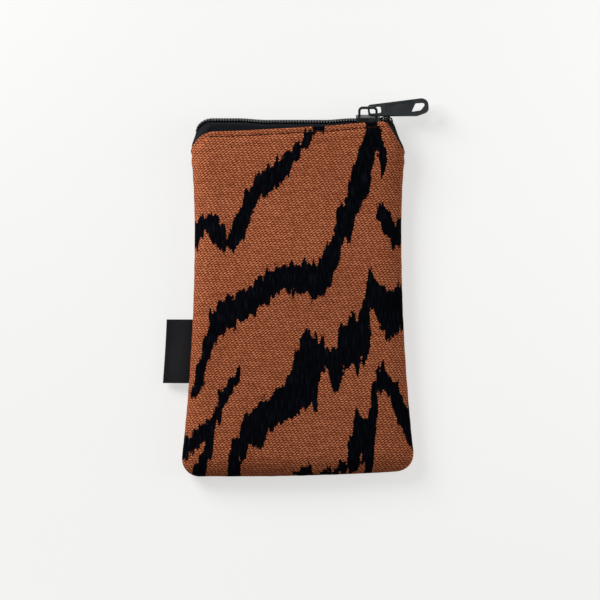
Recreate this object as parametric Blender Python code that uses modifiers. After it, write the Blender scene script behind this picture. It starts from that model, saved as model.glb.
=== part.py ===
"""Soft zipped glasses case, lying on its back with the zip closed.

X runs along the zip (the closed end is at +X), Y points to the mouth, Z is up.
The origin is the middle of the back panel, on the face that rests on the table.

Each panel is three layers: outer fabric, wadding and lining. The zip is a coil zip:
two woven tapes, a coil on the inner edge of each, a slider and its puller. The tapes
fold over lengthwise at the mouth, and the folded edges turn outwards to open it.
"""
import math

import bmesh
import bpy
from mathutils import Matrix, Vector

MM = 0.001

# Outline of the pouch, seen from above
BOTTOM_Y = -89.7 * MM
SIDE_TOP_Y = 73.5 * MM            # where the side seams end and the mouth starts
WAIST_Y = 33 * MM
WAIST_HALF_WIDTH = 51.8 * MM
BOTTOM_HALF_WIDTH = 59.3 * MM
SHOULDER_HALF_WIDTH = 53.6 * MM
SHOULDER_STOP = 1.15              # past the shoulder the sides spread no further than this share
BOTTOM_CORNER = 10 * MM
BOTTOM_RISE = 2.6 * MM             # the bottom edge curves up towards the right by this much
RISE_START = -0.5                 # from this share of the half width to the last
RISE_END = 0.9
FOLD_LEFT_Y = 83.5 * MM           # the mouth's folded edge, which slopes up to the right
FOLD_RIGHT_Y = 88.2 * MM
LEFT_CORNER_X = -SHOULDER_HALF_WIDTH + 12.1 * MM     # where that edge starts to round down
RIGHT_CORNER_X = SHOULDER_HALF_WIDTH - 10.1 * MM
LEFT_CORNER_CURVE = (1.6, 0.55)   # powers of the curve down to the side seam, foot and top
RIGHT_CORNER_CURVE = (1.3, 0.8)

# Thickness of the padded pouch
SEAM_HEIGHT = 5.0 * MM            # the side seams stand this high above the table
BELLY_HEIGHT = 13.6 * MM
BELLY_TOP_Y = 45 * MM             # from here up the front rises to the height of the mouth
MOUTH_FLAT_Y = 74 * MM
FRONT_ROUND = 12 * MM             # how far in from the seam the front panel is rounded
BACK_ROUND = 7 * MM
RIM_LIP = 0.8 * MM                # a panel's edge stands upright over this height
RIM_STEP = 0.1 * MM
RIM_CLEARANCE = 1.4               # the next step inwards, as a share of the layer's thickness
CORNER_BLEND = 2.45               # how the rounding of two edges joins at a bottom corner
FABRIC = 0.7 * MM
WADDING = 1.8 * MM
LINING = 0.4 * MM
LAYER_GAP = 0.5 * MM
HEM_DEPTH = 9 * MM                # the outer fabric is folded double at the mouth
HEM_FADE = 1.5                    # and has thinned to one layer at this many hem depths
WADDING_SETBACK = 12 * MM         # what the wadding and lining stop short of the folded edge
LINING_SETBACK = 4 * MM

# Zip tape and coil. s runs along the zip, n out of the mouth, w from back to front
ZIP_Y = FOLD_RIGHT_Y - 0.2 * MM
TILT = math.radians(18)           # the zip faces out of the mouth and a little upwards
TAPE = 0.45 * MM
TAPE_GAP = 0.25 * MM
TAPE_EDGE = 1.0 * MM              # the tape's inner edge stops this far from the middle
TAPE_MARGIN = 8.5 * MM            # width sewn in under the hem
FRONT_BEND = 1.0 * MM
COIL_PITCH = 1.4 * MM
COIL_HEIGHT = 1.2 * MM
COIL_WIDTH = 2.2 * MM             # one half of the chain
COIL_SPINE = 0.9 * MM             # distance from the middle to the roots of the turns
HEAD = 0.5 * MM                   # one turn's width along the zip
HEAD_LAP = 0.45 * MM              # how far the turns reach past the middle
EDGE_PLAY = 0.1 * MM              # the turning edge starts this far from its fold line
FOLD_PLAY = 0.3 * MM              # and the sewn tape stops this far from it

# Where the zip turns the corners of the mouth and runs down to the side seams
LEFT_TURN_X = LEFT_CORNER_X - 1.5 * MM
LEFT_TURN_RADIUS = 8 * MM
LEFT_TURN = math.radians(70)
LEFT_TAIL = 6 * MM
RIGHT_TURN_X = RIGHT_CORNER_X + 0.8 * MM
RIGHT_TURN_RADIUS = 4 * MM
RIGHT_TURN = math.radians(62)
RIGHT_TAIL = 10 * MM
END_WIDTH_SHARE = 0.22            # how much of its width the zip keeps at its ends
NARROWING = 1.3                   # how soon past the corners it loses the rest
MARGIN_FADE = 2.2                 # and how soon its sewn margin runs out

# Slider
SLIDER_X = 35 * MM
SLIDER_LENGTH = 12 * MM
SLIDER_TRAVEL = 71 * MM
BLADE = 0.9 * MM
SLIDE_GAP = 0.275 * MM
FLANGE = 0.65 * MM
POST_HALF_WIDTH = 0.8 * MM
POST_LENGTH = 3.6 * MM
POST_NOSE = 0.4 * MM              # the post ends this far from the slider's front edge
POST_ROUND = 0.6 * MM
TAIL_ROUND = 1.2 * MM             # corner radii of the blades, from the tail to the shoulders
WAIST_ROUND = 4 * MM
FLARE_ROUND = 3 * MM
SHOULDER_ROUND = 1.6 * MM
CAST_EDGE = 0.35 * MM
CHANNEL_FLARE = 3.6 * MM         # the channel widens over this length, from the slider's middle
CROWN_HALF_LENGTH = 4.3 * MM
CROWN_BAR = 1.2 * MM
CROWN_WIDTH = 0.95 * MM
CROWN_HEIGHT = 4.4 * MM          # to the middle of its bar
CROWN_ROUND = 1.6 * MM

# Puller
PULLER_LENGTH = 30.0 * MM
PULLER_THICKNESS = 1.0 * MM
RING_RAIL = 1.0 * MM
RING_HALF_WIDTH = 3.1 * MM        # outside
RING_OPENING = 6.1 * MM
TIP_HALF_WIDTH = 5.2 * MM
PULLER_ROLL = math.radians(44)
PULLER_DROOP = math.radians(-2)
PULLER_YAW = math.radians(4)
PIVOT_ALONG = 0.5 * MM
PIVOT_HEIGHT = 2.3 * MM           # of the ring's end bar above the slider's face
RING_SHIFT = 0.7 * MM
PANEL_RECESS = 0.2 * MM
PULLER_EDGE = 0.2 * MM
RING_ROUND = 1.7 * MM
RING_INNER_ROUND = 0.9 * MM
# Corners: share of the puller's length, share of its half width, radius
TIP_CORNERS = ((0.79, -1, 3 * MM), (1, -0.62, 3.2 * MM), (1, 0.92, 3.6 * MM))
HOLE_CORNERS = ((0.70, -0.56, 0.5 * MM), (0.86, -0.48, 1.4 * MM), (0.935, 0.05, 1.4 * MM),
                (0.93, 0.43, 0.9 * MM), (0.79, 0.46, 0.6 * MM))
RECESS_CORNERS = ((0.285, -0.405, 0.6 * MM), (0.64, -0.66, 0.6 * MM),
                  (0.72, 0.66, 0.6 * MM), (0.285, 0.405, 0.6 * MM))

# Loop label in the left seam
LABEL_LOW_Y = -43 * MM
LABEL_HIGH_Y = -11 * MM
LABEL_REACH = 12.6 * MM
LABEL_PLY = 0.25 * MM
LABEL_FOLD = 0.35 * MM
LABEL_DROP = 2.2 * MM

COLOURS = {
    "fabric": ((0.36, 0.135, 0.06), 0.9, 0.0),
    "wadding": ((0.85, 0.85, 0.82), 1.0, 0.0),
    "lining": ((0.02, 0.02, 0.022), 0.8, 0.0),
    "tape": ((0.012, 0.013, 0.018), 0.85, 0.0),
    "coil": ((0.015, 0.016, 0.02), 0.35, 0.0),
    "metal": ((0.035, 0.04, 0.043), 0.35, 0.9),
    "satin": ((0.012, 0.012, 0.014), 0.45, 0.0),
}

# Heights that follow from the stack of hem, tape and slider at the mouth
HEM = 2 * FABRIC
COIL_LOW = TAPE / 2 + TAPE_GAP
CHANNEL_LOW = -(TAPE / 2 + SLIDE_GAP)
CHANNEL_HIGH = COIL_LOW + COIL_HEIGHT + SLIDE_GAP
SLIDER_LOW = CHANNEL_LOW - BLADE
SLIDER_HIGH = CHANNEL_HIGH + BLADE
COIL_SPREAD = POST_HALF_WIDTH + SLIDE_GAP + HEAD_LAP
CHANNEL_TAIL = COIL_WIDTH + SLIDE_GAP
CHANNEL_SHOULDER = COIL_WIDTH + COIL_SPREAD + SLIDE_GAP
TAIL_HALF_WIDTH = CHANNEL_TAIL + FLANGE
SHOULDER_HALF = CHANNEL_SHOULDER + FLANGE
FOLD_W = SHOULDER_HALF + SLIDE_GAP        # the lines that the tape edges turn about
BACK_TAPE_Z = HEM + TAPE_GAP + TAPE / 2
ZIP_Z = (BACK_TAPE_Z + TAPE / 2 + SLIDE_GAP
         + SHOULDER_HALF * math.cos(TILT) - SLIDER_LOW * math.sin(TILT))
FRONT_TAPE_Z = ZIP_Z + FOLD_W * math.cos(TILT) + FRONT_BEND * (1 - math.sin(TILT))
MOUTH_HEIGHT = FRONT_TAPE_Z + TAPE / 2 + TAPE_GAP + HEM
BACK_BEND = (ZIP_Z - FOLD_W * math.cos(TILT) - BACK_TAPE_Z) / (1 + math.sin(TILT))

# Stretch of the zip whose edges turn outwards, between the slider's two resting places
FLAP_GAP = 0.4 * MM
PARKING_GAP = 1.2 * MM
FLAP_HIGH_X = SLIDER_X - SLIDER_LENGTH / 2 - PARKING_GAP
FLAP_LOW_X = SLIDER_X - SLIDER_TRAVEL + SLIDER_LENGTH / 2 + PARKING_GAP

CUTTER_REACH = 2 * MM             # how far a cutting shape runs past what it cuts
SHARP_CORNER = math.radians(50)   # edges turned more than this are rounded off


def clamp(value, low=0.0, high=1.0):
    return max(low, min(high, value))


def smooth(value):
    value = clamp(value)
    return value * value * (3 - 2 * value)


def rise(share):
    """Height of a quarter ellipse, 0 at its foot and 1 at its top."""
    return math.sqrt(1 - (1 - clamp(share)) ** 2)


def start_scene(name):
    for thing in list(bpy.data.objects):
        bpy.data.objects.remove(thing)
    parts = bpy.data.collections.new(name)
    cutters = bpy.data.collections.new(name + "_cutters")
    for group in (parts, cutters):
        bpy.context.scene.collection.children.link(group)
    return parts, cutters


PARTS, CUTTERS = start_scene("glasses_case")


def material(name):
    if name in bpy.data.materials:
        return bpy.data.materials[name]
    colour, roughness, metallic = COLOURS[name]
    made = bpy.data.materials.new(name)
    made.use_nodes = True
    shader = made.node_tree.nodes["Principled BSDF"]
    shader.inputs["Base Color"].default_value = (*colour, 1)
    shader.inputs["Roughness"].default_value = roughness
    shader.inputs["Metallic"].default_value = metallic
    return made


def add(name, mesh, finish, smooth_angle=40):
    thing = bpy.data.objects.new(name, mesh)
    mesh.materials.append(material(finish))
    mesh.shade_smooth()
    mesh.set_sharp_from_angle(angle=math.radians(smooth_angle))
    PARTS.objects.link(thing)
    return thing


def grid_mesh(name, columns, rows, place, drop=None, weld=0.0):
    """A grid bent into shape: place(column, row) gives each point, drop(column, row) skips cells.

    Points closer together than weld become one.
    """
    bm = bmesh.new()
    bmesh.ops.create_grid(bm, x_segments=columns, y_segments=rows, size=0.5)
    if drop:
        cells = []
        for face in bm.faces:
            middle = face.calc_center_median()
            column = int((middle.x + 0.5) * columns)
            row = int((middle.y + 0.5) * rows)
            if drop(column, row):
                cells.append(face)
        bmesh.ops.delete(bm, geom=cells, context="FACES")
    for vert in bm.verts:
        column = round((vert.co.x + 0.5) * columns)
        row = round((vert.co.y + 0.5) * rows)
        vert.co = place(column, row)
    bmesh.ops.remove_doubles(bm, verts=bm.verts, dist=weld)
    mesh = bpy.data.meshes.new(name)
    bm.to_mesh(mesh)
    bm.free()
    return mesh


def thicken(thing, thickness, offset):
    wall = thing.modifiers.new("wall", "SOLIDIFY")
    wall.thickness = thickness
    wall.offset = offset
    return wall


# Panels

def half_width(y):
    """Half the pouch's width at y: two parabolas that meet at the waist."""
    if y < WAIST_Y:
        share = (WAIST_Y - y) / (WAIST_Y - BOTTOM_Y)
        return WAIST_HALF_WIDTH + (BOTTOM_HALF_WIDTH - WAIST_HALF_WIDTH) * share ** 2
    share = (y - WAIST_Y) / (SIDE_TOP_Y - WAIST_Y)
    return WAIST_HALF_WIDTH + (SHOULDER_HALF_WIDTH - WAIST_HALF_WIDTH) * min(share, SHOULDER_STOP) ** 2


def fold_y(u):
    """The folded edge of the mouth, across the pouch: a sloping line, rounded at both ends."""
    x = u * SHOULDER_HALF_WIDTH
    along = clamp((x - LEFT_CORNER_X) / (RIGHT_CORNER_X - LEFT_CORNER_X))
    line = FOLD_LEFT_Y + (FOLD_RIGHT_Y - FOLD_LEFT_Y) * along
    if x < LEFT_CORNER_X:
        share = (LEFT_CORNER_X - x) / (SHOULDER_HALF_WIDTH + LEFT_CORNER_X)
        foot, top = LEFT_CORNER_CURVE
    elif x > RIGHT_CORNER_X:
        share = (x - RIGHT_CORNER_X) / (SHOULDER_HALF_WIDTH - RIGHT_CORNER_X)
        foot, top = RIGHT_CORNER_CURVE
    else:
        return line
    return SIDE_TOP_Y + (line - SIDE_TOP_Y) * (1 - clamp(share) ** foot) ** top


def base_y(u):
    """The line of the bottom edge before its corners are rounded."""
    return BOTTOM_Y + BOTTOM_RISE * clamp((u - RISE_START) / (RISE_END - RISE_START)) ** 2


def bottom_y(u, inset):
    """The bottom edge, with its two rounded corners."""
    corner = BOTTOM_CORNER - inset
    start = 1 - corner / (BOTTOM_HALF_WIDTH - inset)
    share = clamp((abs(u) - start) / (1 - start))
    return base_y(u) + inset + corner * (1 - math.sqrt(1 - share ** 2))


def spaced(rounded, length, edge_steps, middle_steps, both):
    """Shares from 0 to 1 along a length, closer together where the panel's edge is rounded."""
    edge = [rounded / length * (1 - math.cos(math.pi / 2 * k / edge_steps)) for k in range(edge_steps)]
    first = rounded / length
    last = 1 - first if both else 1
    middle = [first + (last - first) * k / middle_steps for k in range(middle_steps + 1)]
    return edge + middle + ([1 - e for e in reversed(edge)] if both else [])


def crown(y):
    """Height of the front panel away from its edges."""
    return BELLY_HEIGHT + (MOUTH_HEIGHT - BELLY_HEIGHT) * smooth(
        (y - BELLY_TOP_Y) / (MOUTH_FLAT_Y - BELLY_TOP_Y))


def panel_point(u, v, inset, setback, side, on_rim):
    """A point of a panel, u from -1 to 1 across and v from 0 at the bottom to 1 at the mouth."""
    low = bottom_y(u, inset)
    high = fold_y(u) - setback
    y = low + (high - low) * v
    half = half_width(y) - inset
    rounded = (FRONT_ROUND if side == "front" else BACK_ROUND) - inset
    from_side = clamp(1 - (1 - abs(u)) * half / rounded)
    from_bottom = clamp(1 - (y - base_y(u) - inset) / rounded)
    nearness = (from_side ** CORNER_BLEND + from_bottom ** CORNER_BLEND) ** (1 / CORNER_BLEND)
    lift = rise(1 - nearness)
    if side == "front":
        foot, lip, top = SEAM_HEIGHT + LAYER_GAP / 2, RIM_LIP, crown(y) - inset
    else:
        foot, lip, top = SEAM_HEIGHT - LAYER_GAP / 2, -RIM_LIP, inset
    z = foot if on_rim else foot + lip + (top - foot - lip) * lift
    return Vector((u * half, y, z))


def panel(name, side, inset, thickness, setback, finish, steps, hem=False):
    """One layer of a panel: its outer face as a bent grid, thickened inwards."""
    edge_steps, across_steps, up_steps = steps
    rounded = (FRONT_ROUND if side == "front" else BACK_ROUND) - inset
    length = FOLD_RIGHT_Y - BOTTOM_Y
    across = spaced(rounded, 2 * WAIST_HALF_WIDTH, edge_steps, across_steps, True)
    up = spaced(rounded, length, edge_steps, up_steps, False)
    if hem:
        up = sorted(up + [1 - HEM_FADE * HEM_DEPTH / length, 1 - HEM_DEPTH / length])
    # Next to the upright rim the step is longer than the layer is thick, so its inner face can't fold over
    rim = RIM_STEP / length
    clear = RIM_CLEARANCE * thickness / length
    inside = 2 * clear
    across = ([0, rim, clear] + [share for share in across if inside < share < 1 - inside]
              + [1 - clear, 1 - rim, 1])
    up = [0, rim, clear] + [share for share in up if share > inside]

    def place(column, row):
        on_rim = row == 0 or column in (0, len(across) - 1)
        return panel_point(2 * across[column] - 1, up[row], inset, setback, side, on_rim)

    mesh = grid_mesh(name, len(across) - 1, len(up) - 1, place, weld=1.5 * RIM_STEP)
    if side == "back":
        mesh.flip_normals()
    layer = add(name, mesh, finish)
    wall = thicken(layer, thickness, -1)
    if hem:
        wall.thickness = 2 * thickness
        group = layer.vertex_groups.new(name="hem")
        single = [v.index for v in mesh.vertices]
        double = [v.index for v in mesh.vertices
                  if v.co.y > fold_y(v.co.x / SHOULDER_HALF_WIDTH) - (1 + HEM_FADE) / 2 * HEM_DEPTH]
        group.add(single, 0.5, "REPLACE")
        group.add(double, 1.0, "REPLACE")
        wall.vertex_group = group.name
    return layer


def make_panels():
    wadding_inset = FABRIC + LAYER_GAP
    lining_inset = wadding_inset + WADDING + LAYER_GAP
    for side in ("front", "back"):
        fine = (5, 10, 13) if side == "front" else (4, 8, 9)
        panel("outer_" + side, side, 0, FABRIC, 0, "fabric", fine, hem=True)
        panel("wadding_" + side, side, wadding_inset, WADDING, WADDING_SETBACK, "wadding", (4, 6, 7))
        panel("lining_" + side, side, lining_inset, LINING, LINING_SETBACK, "lining", (4, 6, 8))


# Zip

def chain_line(s):
    """Point, outward direction and bend share of the zip's middle line, seen from above.

    s is X on the straight stretch. Past the corners it is the length along an arc and a tail.
    """
    if s < LEFT_TURN_X:
        along, radius, turn, side, start = LEFT_TURN_X - s, LEFT_TURN_RADIUS, LEFT_TURN, -1, LEFT_TURN_X
        total = LEFT_TURN * LEFT_TURN_RADIUS + LEFT_TAIL
    elif s > RIGHT_TURN_X:
        along, radius, turn, side, start = s - RIGHT_TURN_X, RIGHT_TURN_RADIUS, RIGHT_TURN, 1, RIGHT_TURN_X
        total = RIGHT_TURN * RIGHT_TURN_RADIUS + RIGHT_TAIL
    else:
        return Vector((s, ZIP_Y, 0)), Vector((0, 1, 0)), 0.0
    angle = min(along / radius, turn)
    tail = max(0.0, along - radius * turn)
    x = start + side * (radius * math.sin(angle) + tail * math.cos(angle))
    y = ZIP_Y - radius * (1 - math.cos(angle)) - tail * math.sin(angle)
    outward = Vector((side * math.sin(angle), math.cos(angle), 0))
    return Vector((x, y, 0)), outward, clamp(along / total)


def on_zip(s, n, w):
    """Point from zip coordinates: along, out of the zip's face, and across it towards the front.

    Past the corners the zip grows narrow, and what is sewn in under the hem runs out.
    """
    line, outward, bend = chain_line(s)
    share = smooth(bend)
    w = w * (1 - (1 - END_WIDTH_SHARE) * smooth(NARROWING * bend))
    if n < 0:
        n = n * (1 - smooth(MARGIN_FADE * bend))
    out = n * math.cos(TILT) - w * math.sin(TILT)
    height = n * math.sin(TILT) + w * math.cos(TILT)
    middle = ZIP_Z + (SEAM_HEIGHT - ZIP_Z) * share
    return line + outward * out + Vector((0, 0, middle + height))


def tape_section(side):
    """Half a tape's section as (n, w) pairs: flat edge, fold and sewn margin."""
    sign = 1 if side == "front" else -1
    bend = FRONT_BEND if side == "front" else BACK_BEND
    section = [(0, sign * TAPE_EDGE), (0, sign * (FOLD_W - EDGE_PLAY)), (0, sign * (FOLD_W + FOLD_PLAY))]
    turn = math.pi / 2 - sign * TILT
    for k in range(1, 6):
        angle = turn * k / 5
        if angle * bend > 2 * FOLD_PLAY:
            section.append((-bend * (1 - math.cos(angle)), sign * (FOLD_W + bend * math.sin(angle))))
    n, w = section[-1]
    section.append((n - TAPE_MARGIN * math.cos(TILT), w + TAPE_MARGIN * math.sin(TILT)))
    return section


def stations(low, high, step):
    count = max(1, round((high - low) / step))
    return [low + (high - low) * k / count for k in range(count + 1)]


def zip_ends():
    low = LEFT_TURN_X - LEFT_TURN * LEFT_TURN_RADIUS - LEFT_TAIL
    high = RIGHT_TURN_X + RIGHT_TURN * RIGHT_TURN_RADIUS + RIGHT_TAIL
    return low, high


def make_tape(side):
    """The sewn tape of one side, with a notch where its edge turns, and the turning edge itself."""
    low, high = zip_ends()
    section = tape_section(side)
    runs = (stations(low, LEFT_TURN_X, 2 * MM)
            + stations(LEFT_TURN_X, FLAP_LOW_X - FLAP_GAP, 15 * MM)[1:]
            + stations(FLAP_LOW_X - FLAP_GAP, FLAP_HIGH_X + FLAP_GAP, 60 * MM)[1:]
            + stations(FLAP_HIGH_X + FLAP_GAP, RIGHT_TURN_X, 20 * MM)[1:]
            + stations(RIGHT_TURN_X, high, 1.5 * MM)[1:])

    def place(column, row):
        return on_zip(runs[column], *section[row])

    def in_notch(column, row):
        middle = (runs[column] + runs[column + 1]) / 2
        return FLAP_LOW_X < middle < FLAP_HIGH_X and row < 2

    mesh = grid_mesh("zip_tape_" + side, len(runs) - 1, len(section) - 1, place, in_notch)
    thicken(add("zip_tape_" + side, mesh, "tape"), TAPE, 0)

    def place_edge(column, row):
        return on_zip((FLAP_LOW_X, FLAP_HIGH_X)[column], *section[row])

    mesh = grid_mesh("zip_edge_" + side, 1, 1, place_edge)
    thicken(add("zip_edge_" + side, mesh, "tape"), TAPE, 0)


def spread(s):
    """How far each half of the chain stands off the middle: parted by the slider's post."""
    return COIL_SPREAD * clamp((s - SLIDER_X) / CHANNEL_FLARE)


def make_coil(name, side, low, high):
    """One stretch of coil: a turn at each pitch, joined along the outer edge."""
    sign = 1 if side == "front" else -1
    shift = 0 if side == "front" else COIL_PITCH / 2
    first = math.ceil((low - shift) / COIL_PITCH)
    last = math.floor((high - shift - HEAD) / COIL_PITCH)
    cuts = []
    for k in range(first, last + 1):
        cuts += [k * COIL_PITCH + shift, k * COIL_PITCH + shift + HEAD]
    across = [-HEAD_LAP, COIL_SPINE, COIL_WIDTH]

    def place(column, row):
        w = across[row] + spread(cuts[column])
        return on_zip(cuts[column], COIL_LOW + COIL_HEIGHT / 2, sign * w)

    def between_turns(column, row):
        return row == 0 and column % 2 == 1

    mesh = grid_mesh(name, len(cuts) - 1, 2, place, between_turns)
    thicken(add(name, mesh, "coil"), COIL_HEIGHT, 0)


def make_zip():
    low, high = zip_ends()
    gap = FLAP_GAP / 2
    for side in ("front", "back"):
        make_tape(side)
        make_coil("coil_" + side, side, FLAP_LOW_X, FLAP_HIGH_X)
        make_coil("coil_end_left_" + side, side, low + LEFT_TAIL / 2, FLAP_LOW_X - gap)
        make_coil("coil_end_right_" + side, side, FLAP_HIGH_X + gap, high - RIGHT_TAIL)


# Slider and puller

def flat_solid(name, outlines, half_thickness, finish, collection, resolution=6):
    """Flat outlines, the first outside and the rest as holes, given a thickness.

    An outline's points are (x, y) or (x, y, radius of the rounded corner there).
    """
    curve = bpy.data.curves.new(name, "CURVE")
    curve.dimensions = "2D"
    curve.fill_mode = "BOTH"
    curve.extrude = half_thickness
    for outline in outlines:
        points = rounded_outline(outline, resolution)
        spline = curve.splines.new("POLY")
        spline.points.add(len(points) - 1)
        for point, (x, y) in zip(spline.points, points):
            point.co = (x, y, 0, 1)
        spline.use_cyclic_u = True
    guide = bpy.data.objects.new(name + "_outline", curve)
    CUTTERS.objects.link(guide)
    bpy.context.view_layer.update()
    depsgraph = bpy.context.evaluated_depsgraph_get()
    mesh = bpy.data.meshes.new_from_object(guide.evaluated_get(depsgraph))
    bpy.data.objects.remove(guide)
    bm = bmesh.new()
    bm.from_mesh(mesh)
    bmesh.ops.remove_doubles(bm, verts=bm.verts, dist=0.00001)
    bmesh.ops.recalc_face_normals(bm, faces=bm.faces)
    bm.to_mesh(mesh)
    bm.free()
    mesh.name = name
    mesh.materials.clear()
    mesh.materials.append(material(finish))
    thing = bpy.data.objects.new(name, mesh)
    collection.objects.link(thing)
    if collection == CUTTERS:
        thing.hide_render = True
        thing.display_type = "WIRE"
    return thing


def rounded_outline(outline, steps):
    """Corner points with a radius become arcs of a few steps."""
    points = []
    for k, corner in enumerate(outline):
        here = Vector(corner[:2])
        radius = corner[2] if len(corner) > 2 else 0
        if not radius:
            points.append(tuple(here))
            continue
        before = (Vector(outline[k - 1][:2]) - here).normalized()
        after = (Vector(outline[(k + 1) % len(outline)][:2]) - here).normalized()
        half = before.angle(after) / 2
        centre = here + (before + after).normalized() * (radius / math.sin(half))
        start = here + before * (radius / math.tan(half)) - centre
        sweep = math.pi - 2 * half
        if before.x * after.y - before.y * after.x > 0:
            sweep = -sweep
        for step in range(steps + 1):
            angle = sweep * step / steps
            turned = Matrix.Rotation(angle, 2) @ start
            points.append(tuple(centre + turned))
    return points


def cut(thing, cutter, operation="DIFFERENCE"):
    tool = thing.modifiers.new(operation.lower(), "BOOLEAN")
    tool.operation = operation
    tool.object = cutter
    tool.solver = "EXACT"


def zip_frame(s, n, w):
    """Frame whose x, y and z are the zip's along, across-to-the-back and outward directions."""
    along = Vector((1, 0, 0))
    outward = Vector((0, math.cos(TILT), math.sin(TILT)))
    across = outward.cross(along)
    turn = Matrix((along, across, outward)).transposed().to_4x4()
    return Matrix.Translation(on_zip(s, n, w)) @ turn


def make_slider():
    """One casting: two blades joined by a post, turned flanges, and the crown over the top."""
    frame = zip_frame(SLIDER_X, 0, 0)
    half = SLIDER_LENGTH / 2
    front_half = [(-half, TAIL_HALF_WIDTH, TAIL_ROUND), (0, TAIL_HALF_WIDTH, WAIST_ROUND),
                  (CHANNEL_FLARE, SHOULDER_HALF, FLARE_ROUND), (half, SHOULDER_HALF, SHOULDER_ROUND)]
    back_half = [(along, -across, radius) for along, across, radius in front_half]
    body_outline = back_half + front_half[::-1]
    nose = half - POST_NOSE
    post = [(half - POST_LENGTH, 0), (half - POST_LENGTH / 2, -POST_HALF_WIDTH, POST_ROUND),
            (nose, -POST_HALF_WIDTH / 2), (nose, POST_HALF_WIDTH / 2),
            (half - POST_LENGTH / 2, POST_HALF_WIDTH, POST_ROUND)]
    past = half + CUTTER_REACH
    channel = [(-past, -CHANNEL_TAIL), (0, -CHANNEL_TAIL), (CHANNEL_FLARE, -CHANNEL_SHOULDER),
               (past, -CHANNEL_SHOULDER), (past, CHANNEL_SHOULDER), (CHANNEL_FLARE, CHANNEL_SHOULDER),
               (0, CHANNEL_TAIL), (-past, CHANNEL_TAIL)]
    wide = SHOULDER_HALF + CUTTER_REACH
    slot = [(-past, -wide), (past, -wide), (past, wide), (-past, wide)]

    body = flat_solid("slider", [body_outline], (SLIDER_HIGH - SLIDER_LOW) / 2, "metal", PARTS)
    body.matrix_world = frame @ Matrix.Translation((0, 0, (SLIDER_HIGH + SLIDER_LOW) / 2))
    rounding = body.modifiers.new("rounding", "BEVEL")
    rounding.width = CAST_EDGE
    rounding.segments = 2
    rounding.limit_method = "ANGLE"
    rounding.angle_limit = SHARP_CORNER

    channel_half = (CHANNEL_HIGH - CHANNEL_LOW) / 2
    coil_cut = flat_solid("slider_channel", [channel, post], channel_half, "metal", CUTTERS)
    coil_cut.matrix_world = frame @ Matrix.Translation((0, 0, (CHANNEL_HIGH + CHANNEL_LOW) / 2))
    slot_high = TAPE / 2 + SLIDE_GAP
    tape_cut = flat_solid("slider_slot", [slot, post], (slot_high - CHANNEL_LOW) / 2, "metal", CUTTERS)
    tape_cut.matrix_world = frame @ Matrix.Translation((0, 0, (slot_high + CHANNEL_LOW) / 2))

    foot = BLADE / 2
    high = CROWN_HEIGHT + CROWN_BAR / 2
    low = CROWN_HEIGHT - CROWN_BAR / 2
    out = CROWN_HALF_LENGTH + CROWN_BAR / 2
    inner = CROWN_HALF_LENGTH - CROWN_BAR / 2
    arch = [(-out, -foot), (-inner, -foot), (-inner, low, CROWN_ROUND - CROWN_BAR / 2),
            (inner, low, CROWN_ROUND - CROWN_BAR / 2), (inner, -foot), (out, -foot),
            (out, high, CROWN_ROUND + CROWN_BAR / 2), (-out, high, CROWN_ROUND + CROWN_BAR / 2)]
    bridge = flat_solid("slider_crown", [arch], CROWN_WIDTH / 2, "metal", CUTTERS)
    upright = Matrix.Rotation(math.pi / 2, 4, "X")
    bridge.matrix_world = frame @ Matrix.Translation((0, 0, SLIDER_HIGH)) @ upright
    cut(body, coil_cut)
    cut(body, tape_cut)
    cut(body, bridge, "UNION")


def puller_frame():
    """Pivot frame of the puller: x towards its tip, y along the ring's end bar, z out of its face."""
    spin = (Matrix.Rotation(PULLER_DROOP, 4, "Y") @ Matrix.Rotation(PULLER_YAW, 4, "Z"))
    roll = Matrix.Rotation(PULLER_ROLL, 4, "X")
    return zip_frame(SLIDER_X + PIVOT_ALONG, SLIDER_HIGH + PIVOT_HEIGHT, 0) @ roll @ spin


def make_puller():
    """A flat tab: a ring that hangs on the crown, and a slanted finger hole near its tip."""
    def corners(table):
        return [(along * PULLER_LENGTH, across * TIP_HALF_WIDTH, radius) for along, across, radius in table]

    back = RING_RAIL / 2
    inside = RING_HALF_WIDTH - RING_RAIL
    outline = ([(-back, -RING_HALF_WIDTH, RING_ROUND)] + corners(TIP_CORNERS)
               + [(-back, RING_HALF_WIDTH, RING_ROUND)])
    opening = [(back, -inside, RING_INNER_ROUND), (RING_OPENING, -inside, RING_INNER_ROUND),
               (RING_OPENING, inside, RING_INNER_ROUND), (back, inside, RING_INNER_ROUND)]
    puller = flat_solid("puller", [outline, opening, corners(HOLE_CORNERS)],
                        PULLER_THICKNESS / 2, "metal", PARTS)
    place = puller_frame() @ Matrix.Translation((0, RING_SHIFT, 0))
    puller.matrix_world = place
    pocket = flat_solid("puller_recess", [corners(RECESS_CORNERS)], PANEL_RECESS, "metal", CUTTERS)
    pocket.matrix_world = place @ Matrix.Translation((0, 0, PULLER_THICKNESS / 2))
    cut(puller, pocket)
    rounding = puller.modifiers.new("rounding", "BEVEL")
    rounding.width = PULLER_EDGE
    rounding.segments = 2
    rounding.limit_method = "ANGLE"
    rounding.angle_limit = SHARP_CORNER


# Label

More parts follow.
